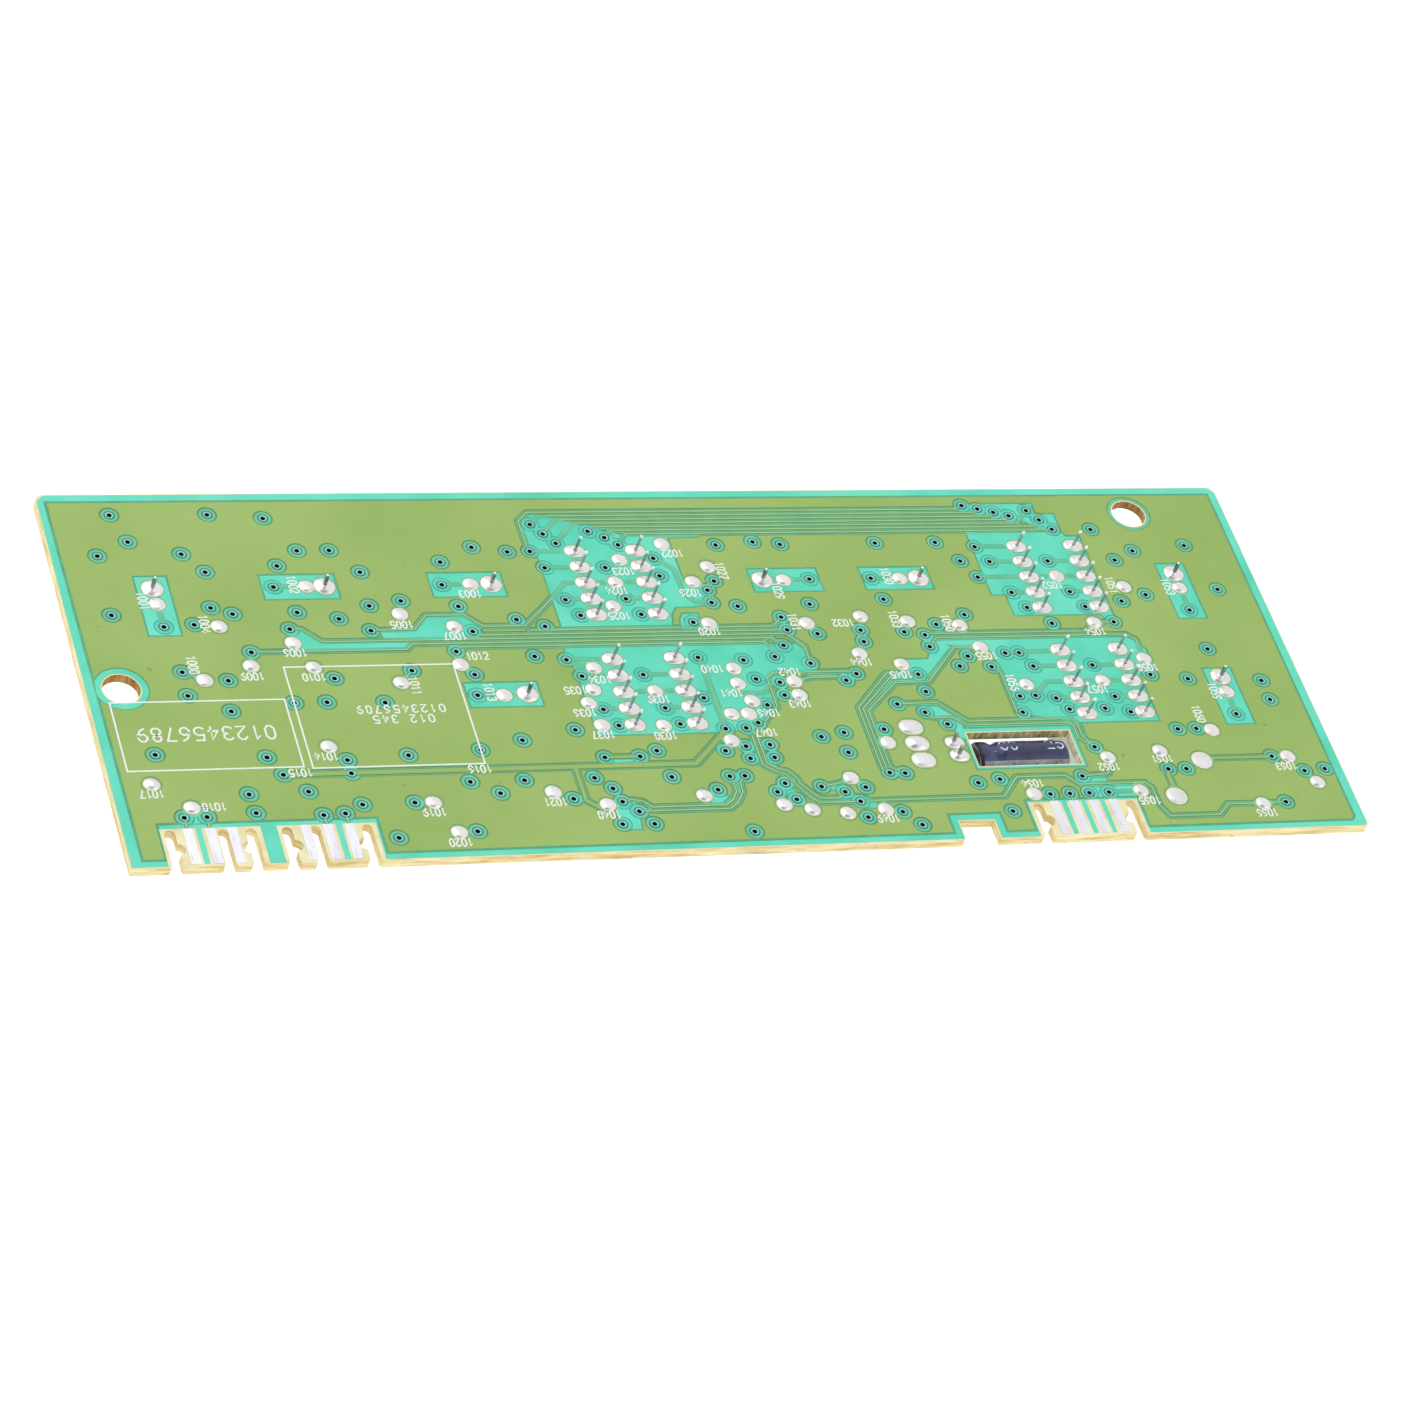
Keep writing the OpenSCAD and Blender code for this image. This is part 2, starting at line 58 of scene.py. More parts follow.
# ------------------------------------------------------------------ data
VIAS = [(8.15, 52.55), (19.65, 52.5), (26.15, 51.85), (9.45, 48.3), (5.5, 46.15), (15.3, 46.3), (17.5, 43.45),
    (29.05, 46.65), (32.9, 46.65), (26.15, 44.3), (35.8, 43.15), (50.25, 46.9), (45.85, 44.6), (5.3, 37.0),
    (16.95, 37.9), (19.3, 36.9), (14.5, 35.35), (26.9, 37.0), (31.6, 35.9), (35.65, 37.85), (39.6, 38.55),
    (46.3, 37.55), (25.45, 34.45), (34.95, 34.0), (47.05, 33.6), (20.2, 31.0), (44.3, 30.55), (11.6, 28.2),
    (16.6, 26.8), (11.5, 24.65), (38.3, 27.75), (28.95, 26.8), (45.6, 26.95), (23.45, 23.25), (27.25, 23.25),
    (34.0, 23.0), (15.95, 22.2), (6.0, 16.1), (18.5, 15.3), (27.6, 14.6), (34.8, 15.05), (43.4, 15.55),
    (48.7, 16.85), (19.8, 12.7), (27.6, 12.65), (15.3, 10.0), (22.1, 10.15), (41.0, 10.9), (47.4, 10.9),
    (44.1, 9.1), (7.35, 6.95), (9.9, 6.95), (15.5, 7.3), (23.05, 6.7), (25.55, 6.85), (27.8, 8.05),
    (33.85, 8.1), (30.8, 3.1), (40.05, 3.65), (58.4, 50.5), (59.6, 48.95), (60.8, 47.4), (65.3, 49.3),
    (67.1, 48.25), (68.5, 47.05), (54.45, 46.1), (57.25, 46.15), (58.4, 43.5), (65.9, 43.4), (72.3, 44.8),
    (72.3, 41.95), (59.6, 38.35), (67.1, 38.35), (60.8, 35.85), (68.3, 35.85), (78.9, 41.0), (77.65, 39.55),
    (77.6, 37.55), (80.8, 46.85), (85.65, 47.3), (89.05, 46.85), (80.7, 36.9), (89.9, 37.05), (52.8, 35.35),
    (56.0, 34.2), (74.4, 34.45), (85.65, 35.05), (85.8, 33.0), (89.45, 32.3), (84.6, 30.55), (95.1, 32.75),
    (94.95, 30.9), (100.6, 32.35), (53.5, 29.55), (57.2, 28.95), (58.4, 26.35), (65.9, 26.4), (73.4, 28.9),
    (78.9, 28.35), (83.0, 28.8), (87.15, 27.65), (79.6, 25.35), (82.4, 24.75), (82.4, 22.75), (92.4, 25.85),
    (90.8, 24.85), (72.3, 22.6), (59.6, 21.2), (67.15, 21.2), (79.8, 21.3), (60.8, 18.7), (68.3, 18.7),
    (77.85, 18.6), (76.15, 17.85), (73.6, 17.8), (55.4, 18.2), (85.0, 16.2), (88.0, 16.75), (87.6, 13.7),
    (72.6, 14.45), (75.3, 15.05), (75.3, 13.2), (78.3, 15.2), (78.3, 13.25), (57.8, 13.95), (62.05, 13.95),
    (64.3, 14.75), (55.75, 10.95), (57.5, 9.3), (58.1, 7.3), (59.7, 5.8), (57.2, 4.0), (61.0, 3.9),
    (65.0, 10.75), (70.0, 8.65), (72.0, 10.6), (73.85, 10.6), (72.6, 2.3), (52.45, 7.95), (77.1, 8.05),
    (78.4, 9.3), (79.1, 6.85), (82.7, 8.65), (85.35, 7.75), (86.8, 6.25), (88.1, 8.35), (87.0, 3.85),
    (91.5, 4.5), (93.3, 2.45), (91.75, 10.45), (93.65, 10.3), (93.15, 17.1), (96.05, 20.95), (99.15, 19.55),
    (101.4, 17.65), (100.3, 22.8), (100.2, 25.55), (99.6, 37.65), (101.4, 46.9), (102.3, 8.5), (114.85, 53.05),
    (116.75, 52.45), (118.7, 51.85), (120.55, 51.25), (123.2, 52.1), (124.4, 50.5), (125.6, 48.9), (130.8, 48.8),
    (109.3, 46.9), (111.6, 43.75), (114.3, 46.1), (115.45, 43.6), (123.2, 43.6), (113.05, 41.05), (116.65, 38.45),
    (124.4, 38.45), (117.85, 35.95), (125.6, 35.95), (135.2, 45.1), (132.25, 43.6), (142.55, 45.9), (134.35, 37.75),
    (130.75, 36.75), (144.4, 38.45), (109.25, 34.95), (105.1, 33.45), (103.1, 31.8), (103.1, 29.9), (120.25, 33.3),
    (128.5, 33.35), (112.5, 28.65), (114.3, 28.65), (107.5, 28.25), (105.95, 26.7), (110.0, 26.5), (115.45, 26.45),
    (123.2, 26.45), (139.4, 28.65), (130.3, 24.7), (135.0, 23.9), (144.7, 23.35), (144.7, 20.25), (112.1, 21.75),
    (114.15, 21.8), (116.65, 21.3), (124.4, 21.35), (111.6, 19.2), (117.8, 19.5), (122.45, 19.5), (125.6, 18.85),
    (130.75, 15.95), (133.2, 15.95), (118.95, 13.5), (127.25, 9.75), (129.6, 9.7), (141.5, 11.25), (144.95, 8.85),
    (147.75, 9.05), (105.2, 8.95), (115.8, 9.05), (110.8, 6.45), (113.3, 6.45), (115.8, 6.45), (118.35, 6.45),
    (105.2, 4.05), (140.65, 4.1)]
# touch keys: pin, test pad, via, bare field
KEYS = [((10.8, 41.0), (10.9, 38.6), (10.95, 35.1), (8.9, 33.7, 12.8, 42.9)),
    ((31.05, 41.0), (28.9, 41.0), (25.0, 41.0), (23.6, 39.0, 32.55, 42.9)),
    ((51.15, 41.0), (48.65, 41.0), (45.15, 41.0), (43.7, 39.0, 52.7, 42.9)),
    ((85.05, 41.1), (87.75, 41.0), (91.1, 41.1), (83.55, 39.1, 92.4, 42.9)),
    ((105.2, 41.0), (102.8, 41.0), (99.05, 41.1), (97.9, 39.2, 106.75, 42.9)),
    ((139.4, 41.2), (139.35, 38.8), (139.35, 35.1), (137.4, 33.7, 141.25, 42.9)),
    ((51.15, 23.8), (48.3, 23.7), (45.15, 23.8), (43.85, 21.9, 52.7, 25.7)),
    ((139.45, 24.1), (139.4, 21.7), (139.35, 18.1), (137.5, 16.45, 141.3, 25.55))]
TESTS = [(17.3, 35.0), (39.0, 36.5), (25.35, 32.3), (45.0, 34.4), (19.7, 28.9), (26.9, 28.5), (13.9, 26.9),
    (36.6, 25.9), (44.3, 28.5), (25.9, 16.6), (4.7, 11.8), (8.5, 8.3), (36.0, 8.0), (37.9, 3.6), (50.3, 9.0),
    (74.0, 47.1), (68.0, 44.6), (66.5, 41.0), (65.2, 37.2), (76.2, 40.9), (78.75, 43.3), (76.3, 34.2),
    (88.6, 34.0), (95.75, 34.9), (101.55, 34.0), (93.8, 29.0), (60.2, 27.6), (59.2, 24.25), (58.1, 22.2),
    (58.8, 18.8), (66.2, 18.5), (66.65, 23.8), (77.3, 27.05), (77.15, 24.7), (78.1, 21.95), (75.0, 20.0),
    (77.1, 20.0), (73.8, 15.95), (84.25, 24.85), (84.25, 22.7), (98.6, 27.15), (56.25, 6.9), (68.1, 7.8),
    (93.0, 15.05), (86.7, 9.8), (77.35, 6.1), (80.55, 5.25), (84.7, 4.55), (89.5, 4.9), (131.9, 39.1),
    (123.55, 41.05), (108.1, 33.25), (125.85, 33.3), (109.6, 29.65), (113.55, 23.55), (123.65, 23.9),
    (130.35, 27.3), (135.15, 15.65), (127.15, 12.6), (120.1, 11.8), (143.6, 11.15), (146.0, 7.0),
    (137.6, 3.95), (122.5, 6.55), (108.75, 6.55)]
DISPLAYS = [(66.6, 41.0), (66.6, 23.8), (123.65, 41.0), (123.65, 23.9)]
LEADS = [(s * 3.81, k * 2.54) for s in (-1, 1) for k in range(-2, 3)]
CAP_LEADS = [(101.35, 12.75), (101.35, 14.75)]
BLANK_OVAL = [(96.6, 17.3), (96.6, 14.75), (96.6, 12.2)]
BLANK_ROUND = [(132.1, 10.95), (126.8, 5.55)]
MOUNTS = [(4.2, 25.9, 2.15, 3.1), (136.9, 51.4, 2.15, 2.8)]
WINDOW = (103.3, 11.0, 116.5, 16.2)

# tracks on the solder side: (width, points)
W = 0.3
TRACKS = [
    (W, [(57.25, 46.15), (57.05, 47), (57.05, 51.0), (58.5, 52.45), (113.9, 52.45), (114.85, 53.05)]),
    (W, [(58.4, 50.5), (59.9, 51.85), (116.1, 51.85), (116.75, 52.45)]),
    (W, [(59.6, 48.95), (61.7, 51.2), (118.1, 51.2), (118.7, 51.85)]),
    (W, [(60.8, 47.4), (63.7, 50.6), (119.9, 50.6), (120.55, 51.25)]),
    (W, [(65.3, 49.3), (66.0, 50.0), (121.2, 50.0), (123.2, 52.1)]),
    (W, [(67.1, 48.25), (68.2, 49.4), (123.3, 49.4), (124.4, 50.5)]),
    (W, [(68.5, 47.05), (69.9, 48.8), (125.6, 48.8)]),
    (W, [(34.95, 34.0), (40.2, 34.1), (42, 36.2), (46.6, 36.2), (48.5, 34.35), (53.6, 34.35), (57, 37.6), (60.2, 41), (62.8, 41)]),
    (W, [(47.05, 33.6), (47.65, 33.0), (85.8, 33.0)]),
    (W, [(54.0, 33.6), (84.2, 33.6), (85.65, 35.05)]),
    (W, [(25.45, 34.45), (26.8, 34.4), (28.8, 32.4), (85.3, 32.4), (86, 31.7), (87.2, 30.3), (87.15, 27.65)]),
    (W, [(20.2, 31.0), (38.5, 31.0), (39.3, 31.8), (83.3, 31.8), (84.6, 30.55)]),
    (W, [(44.3, 30.55), (44.95, 31.2), (82.2, 31.2), (83, 30.4), (83.0, 28.8)]),
    (W, [(72.3, 44.8), (73.2, 44.2), (74.4, 42.8), (74.5, 39.0), (75.6, 37.7), (77.6, 37.55)]),
    (W, [(57.25, 46.15), (62.8, 46.1)]), (W, [(58.4, 43.5), (62.8, 43.5)]),
    (W, [(62.8, 41), (66.5, 41), (70.4, 41)]), (W, [(59.6, 38.35), (62.8, 38.4)]), (W, [(67.1, 38.35), (70.4, 38.4)]),
    (W, [(60.8, 35.85), (62.8, 35.9)]), (W, [(68.3, 35.85), (70.4, 35.9)]),
    (W, [(57.2, 28.95), (62.8, 28.9)]), (W, [(57.2, 28.95), (58.3, 28.0), (60.2, 27.6)]), (W, [(58.4, 26.35), (62.8, 26.4)]),
    (W, [(65.9, 26.4), (70.4, 26.4)]), (W, [(62.8, 23.8), (66.65, 23.8), (70.4, 23.8)]), (W, [(59.6, 21.2), (62.8, 21.25)]),
    (W, [(67.15, 21.2), (70.4, 21.3)]), (W, [(60.8, 18.7), (62.8, 18.7)]), (W, [(68.3, 18.7), (70.4, 18.7)]),
    (W, [(92.4, 25.85), (91.9, 26.25), (82, 26.25), (81, 25.4), (80.9, 21), (78.8, 18.8)]),
    (W, [(90.8, 24.85), (90.2, 25.4), (86.5, 25.4), (84.25, 24.85), (82.4, 24.75)]),
    (W, [(77.0, 23.15), (80.1, 23.15), (80.7, 23.9)]), (0.5, [(73.4, 28.9), (73.6, 27.6), (73.6, 18.0)]),
    (W, [(114.3, 46.1), (119.85, 46.1)]), (W, [(115.45, 43.6), (119.85, 43.5)]),
    (W, [(113.05, 41.05), (123.55, 41.05), (127.45, 41)]), (W, [(116.65, 38.45), (119.85, 38.4)]),
    (W, [(117.85, 35.95), (119.85, 35.9)]), (W, [(123.2, 43.6), (127.45, 43.5)]), (W, [(124.4, 38.45), (127.45, 38.4)]),
    (W, [(125.6, 35.95), (127.45, 35.9)]),
    (W, [(112.5, 28.65), (119.85, 28.9)]), (W, [(115.45, 26.45), (119.85, 26.4)]), (W, [(114.15, 21.8), (116.3, 23.9), (127.45, 23.9)]),
    (W, [(116.65, 21.3), (119.85, 21.35)]), (W, [(117.8, 19.5), (119.85, 18.85)]), (W, [(123.2, 26.45), (127.45, 26.4)]),
    (W, [(124.4, 21.35), (127.45, 21.35)]), (W, [(125.6, 18.85), (127.45, 18.85)]),
    (W, [(103.1, 31.8), (103.4, 31.95), (124.3, 31.95), (125.85, 33.3), (128.5, 33.35)]),
    (W, [(103.1, 29.9), (104.4, 31.3), (129.4, 31.3), (130.4, 30.4), (130.35, 27.3)]),
    (W, [(109.6, 29.65), (106.2, 29.7), (101.2, 24.35), (96.8, 24.3), (92.1, 20.0), (92.1, 11.2), (93.65, 10.3)]),
    (W, [(101.1, 25.1), (96.5, 25.2), (91.55, 20.35), (91.55, 10.45)]),
    (W, [(100.2, 25.55), (96.2, 25.8), (91.0, 20.5), (91.0, 11.0), (91.75, 10.45)]),
    (W, [(110.0, 26.5), (110.85, 25.5), (110.85, 19.2)]),
    (W, [(96.05, 20.95), (101.1, 21.05), (104.1, 18.0), (117.55, 18.0), (117.95, 17.6), (117.95, 15.2), (118.95, 13.5)]),
    (W, [(99.15, 19.55), (99.6, 18.65), (102.3, 18.6), (103.8, 17.4), (116.8, 17.4), (117.35, 16.9), (117.35, 15.0), (118.95, 13.5)]),
    (W, [(86.8, 6.2), (88.4, 6.3), (104.9, 6.32), (107.4, 9.2), (113.6, 9.2), (114.9, 7.8), (123.4, 7.8), (124.1, 7.0), (124.1, 4.2),
         (124.9, 2.5), (131.4, 2.5), (133.0, 4.1), (137.6, 4.0), (140.65, 4.1)]),
    (W, [(115.8, 9.05), (119.2, 9.3), (120, 10.3), (120.1, 11.8)]), (W, [(118.35, 6.45), (122.5, 6.55)]),
    (0.7, [(19.8, 12.7), (68.5, 12.65), (73.0, 17.0), (73.6, 17.8)]),
    (0.55, [(53.85, 12.65), (53.85, 7.6), (55.2, 6.5), (56.25, 6.9)]),
    (0.5, [(57.8, 13.95), (62.05, 13.95)]),
    (W, [(58.1, 7.3), (59.2, 7.55), (60.5, 7.3), (61.4, 6.35), (70.4, 6.35), (71.4, 7.1), (72.15, 8.3), (72.15, 9.6), (72.0, 10.6)]),
    (W, [(59.7, 5.8), (70.7, 5.8), (71.9, 6.7), (72.9, 8.2), (73.0, 9.6), (73.85, 10.6)]),
    (W, [(76.15, 17.85), (77.1, 16.8), (77.1, 12.4), (78.2, 11.5), (79.3, 11.1), (80.1, 10.0), (80.2, 9.2), (81.5, 7.4), (82.2, 6.85), (84.4, 6.85), (85.35, 7.7)]),
    (W, [(76.5, 16.6), (76.5, 12.2), (77.6, 11.2), (78.9, 10.6), (79.6, 9.2), (80.9, 7.0), (81.8, 6.25), (85.6, 6.22), (86.8, 6.2)]),
    (W, [(82.7, 8.65), (85.2, 9.1), (86.7, 9.8)]),
    (W, [(20.2, 31), (19.7, 28.9)]), (W, [(11.6, 28.2), (13.9, 26.9)]), (W, [(44.3, 30.55), (44.3, 28.5)]),
    (W, [(38.3, 27.75), (36.6, 25.9)]), (W, [(7.35, 6.95), (8.5, 8.3), (9.9, 6.95)]), (W, [(95.1, 32.75), (94.95, 30.9), (93.8, 29.0)]),
    (W, [(78.9, 41), (77.65, 39.55), (77.6, 37.55)]), (W, [(74.4, 34.45), (76.3, 34.2)]),
    (0.5, [(133.4, 11.2), (140.4, 11.2), (141.5, 11.25), (143.6, 11.15)]), (0.6, [(126.9, 6.6), (126.9, 8.8), (127.25, 9.75)]),
    (0.35, [(7.35, 6.95), (7.35, 5.2)]), (0.35, [(9.9, 6.95), (9.85, 5.2)]), (0.35, [(23.05, 6.7), (23.1, 5.2)]), (0.35, [(25.55, 6.85), (25.6, 5.2)]),
    (0.35, [(110.8, 6.45), (110.85, 5.2)]), (0.35, [(113.3, 6.45), (113.35, 5.2)]), (0.35, [(115.8, 6.45), (115.85, 5.2)]),
    (0.35, [(118.35, 6.45), (118.35, 5.2)]), 
]
# fields without copper under the mask
FIELDS = [
    [(57.9, 34.0), (57.9, 45.0), (57.35, 46.8), (57.35, 50.8), (58.6, 52.1), (60.0, 52.1), (70.0, 48.5), (79.0, 48.5), (79.0, 48.15),
     (75.1, 48.05), (75.1, 41.0), (77.4, 39.2), (77.3, 37.2), (75.2, 36.85), (72.9, 36.8), (72.15, 35.8), (71.95, 34.6), (71.6, 34.0)],
    [(57.8, 17.2), (57.8, 27.4), (57.45, 28.4), (57.3, 30.85), (86.2, 30.85), (86.9, 30.0), (87.0, 26.5), (82.3, 26.5), (81.2, 25.6), (80.7, 25.2),
     (80.7, 21.2), (79.0, 19.2), (77.5, 17.6), (72.3, 17.2)],
    [(113.85, 38.05), (113.85, 48.5), (126.7, 48.5), (127.0, 47.75), (128.9, 47.75), (128.9, 34.0), (127.5, 34.0), (127.1, 34.6), (115.7, 34.6), (115.7, 38.05)],
    [(115.6, 53.35), (124.3, 53.35), (124.3, 51.55), (126.7, 51.55), (126.7, 48.0), (125.0, 48.4), (122.3, 50.2), (119.5, 51.4), (116, 52.6)],
    [(118.5, 17.3), (128.9, 17.3), (128.9, 24.6), (129.3, 25.2), (131.3, 25.4), (131.2, 28.8), (130.2, 30.2), (129.3, 30.95), (104.4, 30.95), (104.4, 30.25), (106.0, 29.95), (109.6, 29.95), (110.5, 29.4),
     (111.2, 25.5), (111.2, 19.2), (113, 18.5)],
    [(97.0, 24.85), (101.0, 24.85), (105.9, 29.85), (104.5, 30.9), (103.4, 30.5), (102.2, 28.0), (98.8, 28.0), (98.2, 26.1), (97.0, 26.1)],
    [(36.1, 32.7), (35.9, 33.8), (40.3, 33.9), (42.1, 36.0), (46.5, 36.0), (48.4, 34.2), (48.0, 32.9), (47, 32.7)],
    [(24.4, 31.2), (38.3, 31.2), (39.0, 31.9), (39.0, 32.2), (28.7, 32.2), (26.7, 34.2), (25.5, 34.0)],
    [(72.6, 33.3), (75.4, 33.3), (75.4, 35.9), (73.4, 35.9), (72.8, 35.0)],
    [(99.2, 20.55), (101.0, 20.55), (102.9, 18.7), (100.2, 18.9), (99.6, 19.4)],
    [(118.25, 17.4), (118.5, 17.4), (118.5, 15.1), (118.25, 15.1)], [(102.2, 15.3), (103.3, 15.3), (103.3, 17.6), (102.4, 18.2), (101.8, 17.6)],
    [(58.3, 12.95), (61.8, 12.95), (61.8, 13.7), (58.3, 13.7)], [(7.0, 5.9), (10.3, 5.9), (10.1, 7.6), (8.6, 7.9), (7.2, 7.6)],
    [(57.3, 3.1), (59.4, 3.1), (59.6, 5.0), (59.6, 7.2), (58.6, 7.4), (57.0, 7.4), (56.9, 4.4)],
    [(68.6, 6.6), (70.0, 6.6), (71.0, 7.4), (70.6, 8.6), (69.0, 8.6)],
    [(78.0, 7.4), (79.0, 7.0), (79.6, 7.8), (79.0, 8.6), (77.8, 8.9), (77.5, 8.0)],
    [(83.3, 8.0), (85.0, 8.0), (85.0, 8.65), (83.3, 8.65)],
    [(86.9, 5.2), (88.5, 5.1), (88.9, 6.1), (87.4, 7.4), (86.2, 7.4)],
    [(114.6, 8.1), (118.8, 8.1), (118.8, 8.8), (114.9, 8.8)],
    [(115.0, 5.7), (122.9, 5.7), (122.9, 7.45), (115.0, 7.45)],
]
FIELDS += [[(a, b), (c, b), (c, d), (a, d)] for _, _, _, (a, b, c, d) in KEYS]
for p, t, v, _ in KEYS:
    VIAS.append(v)
    TRACKS.append((W, [p, t, v]))
    TESTS.append(t)

# outline of the copper area and of the mask, solder side
POUR = [(1.5, 1.02), (4.1, 1.02), (4.1, 6.1), (29.0, 6.1), (29.0, 1.02), (96.9, 1.02), (96.9, 3.85), (103.5, 3.85), (103.5, 1.02),
    (107.2, 1.02), (107.2, 5.65), (121.75, 5.65), (121.75, 1.02), (148.35, 1.02), (148.8, 1.6), (148.95, 54.65), (1.08, 54.65)]
MASK = [(0.15, 0.15), (4.2, 0.15), (4.2, 5.45), (8.25, 5.45), (8.25, 0.35), (8.9, 0.35), (8.9, 5.45), (15.55, 5.45), (15.55, 0.15),
    (17.35, 0.15), (17.35, 5.45), (24.05, 5.45), (24.05, 0.35), (24.75, 0.35), (24.75, 5.45), (28.65, 5.45), (28.65, 0.15),
    (97.85, 0.15), (97.85, 2.95), (102.55, 2.95), (102.55, 0.15), (107.5, 0.15), (107.5, 5.3), (111.75, 5.3), (111.75, 0.35),
    (112.4, 0.35), (112.4, 5.3), (114.3, 5.3), (114.3, 0.35), (114.9, 0.35), (114.9, 5.3), (116.75, 5.3), (116.75, 0.35),
    (117.3, 0.35), (117.3, 5.3), (121.5, 5.3), (121.5, 0.15), (149.7, 0.15), (150.05, 0.5), (150.05, 54.9), (149.2, 55.75),
    (1.0, 55.75), (0.15, 54.9)]
# ------------------------------------------------------------------ end of data


# ------------------------------------------------------------------ plane geometry
def circle_pts(x, y, r, n):
    return [(x + r * math.cos(2 * math.pi * k / n), y + r * math.sin(2 * math.pi * k / n)) for k in range(n)]


def capsule_pts(x1, y1, x2, y2, h, n=6):
    a = math.atan2(y2 - y1, x2 - x1)
    out = [(x2 + h * math.cos(a + t), y2 + h * math.sin(a + t)) for t in [math.pi * (k / n - 0.5) for k in range(n + 1)]]
    return out + [(x1 - h * math.cos(a + t), y1 - h * math.sin(a + t)) for t in [math.pi * (k / n - 0.5) for k in range(n + 1)]]


def offset_poly(poly, d):
    """poly grown by d (shrunk if d is below 0), with mitred corners"""
    n = len(poly)
    area = sum(poly[i][0] * poly[(i + 1) % n][1] - poly[(i + 1) % n][0] * poly[i][1] for i in range(n))
    s = 1 if area > 0 else -1
    out = []
    for i in range(n):
        p, q, r = Vector(poly[i - 1]), Vector(poly[i]), Vector(poly[(i + 1) % n])
        u, v = (q - p).normalized(), (r - q).normalized()
        n1, n2 = Vector((u.y, -u.x)) * s, Vector((v.y, -v.x)) * s
        m = n1 + n2
        k = max(m.length_squared / 2, 0.35)
        q = q + m * (d / k)
        out.append((q.x, q.y))
    return out


def d_circles(P, cs):
    best = np.full(len(P), 1e9)
    for x, y, r in cs:
        np.minimum(best, np.hypot(P[:, 0] - x, P[:, 1] - y) - r, out=best)
    return best


def d_capsules(P, ss):
    best = np.full(len(P), 1e9)
    for x1, y1, x2, y2, h in ss:
        dx, dy = x2 - x1, y2 - y1
        t = np.clip(((P[:, 0] - x1) * dx + (P[:, 1] - y1) * dy) / max(dx * dx + dy * dy, 1e-9), 0, 1)
        np.minimum(best, np.hypot(P[:, 0] - x1 - t * dx, P[:, 1] - y1 - t * dy) - h, out=best)
    return best


def d_poly(P, poly):
    best = np.full(len(P), 1e9)
    inside = np.zeros(len(P), bool)
    n = len(poly)
    for i in range(n):
        (x1, y1), (x2, y2) = poly[i], poly[(i + 1) % n]
        dx, dy = x2 - x1, y2 - y1
        t = np.clip(((P[:, 0] - x1) * dx + (P[:, 1] - y1) * dy) / max(dx * dx + dy * dy, 1e-12), 0, 1)
        np.minimum(best, np.hypot(P[:, 0] - x1 - t * dx, P[:, 1] - y1 - t * dy), out=best)
        if y1 != y2:
            c = (y1 > P[:, 1]) != (y2 > P[:, 1])
            inside ^= c & (P[:, 0] < (P[:, 1] - y1) * dx / dy + x1)
    return np.where(inside, -best, best)


def d_polys(P, polys):
    best = np.full(len(P), 1e9)
    for p in polys:
        np.minimum(best, d_poly(P, p), out=best)
    return best


def triangulate(rings, eps=1e-5):
    """points and triangles of the plane cut along closed rings"""
    pts, edges = [], []
    for r in rings:
        b = len(pts)
        pts += [Vector(p) for p in r]
        edges += [(b + i, b + (i + 1) % len(r)) for i in range(len(r))]
    v, _, f, _, _, _ = delaunay_2d_cdt(pts, edges, [], 0, eps, False)
    return np.array([(p.x, p.y) for p in v]), np.array([list(t) for t in f if len(t) == 3], int)


def ccw(P, T):
    a, b, c = P[T[:, 0]], P[T[:, 1]], P[T[:, 2]]
    ar = (b[:, 0] - a[:, 0]) * (c[:, 1] - a[:, 1]) - (c[:, 0] - a[:, 0]) * (b[:, 1] - a[:, 1])
    T = T.copy()
    T[ar < 0] = T[ar < 0][:, ::-1]
    return T[np.abs(ar) > 1e-10]


def wind(P, T):
    """anticlockwise triangles; slivers stay in, so the sheet keeps no cracks"""
    a, b, c = P[T[:, 0]], P[T[:, 1]], P[T[:, 2]]
    ar = (b[:, 0] - a[:, 0]) * (c[:, 1] - a[:, 1]) - (c[:, 0] - a[:, 0]) * (b[:, 1] - a[:, 1])
    most = (ar < 0).mean() > 0.5
    flip = np.where(np.abs(ar) > 1e-8, ar < 0, most)
    T = T.copy()
    T[flip] = T[flip][:, ::-1]
    return T


def border(T):
    """edges of one triangle only, in the triangle's own direction"""
    e = np.concatenate([T[:, [0, 1]], T[:, [1, 2]], T[:, [2, 0]]])
    seen = {}
    for a, b in e:
        seen[(int(a), int(b))] = 1
    return [(a, b) for (a, b) in seen if (b, a) not in seen]


def new_mesh(name, verts_mm, faces, mats, index=None, smooth=False):
    """a piece from vertices in board millimetres (z in frame millimetres)"""
    v = np.asarray(verts_mm, float)
    v = (v + np.array([OX, OY, 0.0])) * MM
    me = bpy.data.meshes.new(name)
    me.from_pydata(v.tolist(), [], [list(map(int, f)) for f in faces])
    for m in mats:
        me.materials.append(m)
    if index is not None:
        me.polygons.foreach_set("material_index", np.asarray(index, np.int32))
    if smooth is True:
        me.polygons.foreach_set("use_smooth", np.ones(len(me.polygons), bool))
    me.validate()
    me.update()
    ob = bpy.data.objects.new(name, me)
    bpy.context.scene.collection.objects.link(ob)
    return ob


def done(ob, slot, *nodes):
    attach(ob, "root")
    if nodes:
        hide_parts(*nodes)
    return ob


# ------------------------------------------------------------------ materials
def rgb(r, g, b):
    """shown 0-255 colour as linear light"""
    f = lambda c: (c / 255 / 12.92) if c / 255 <= 0.04045 else ((c / 255 + 0.055) / 1.055) ** 2.4
    return (f(r), f(g), f(b), 1.0)


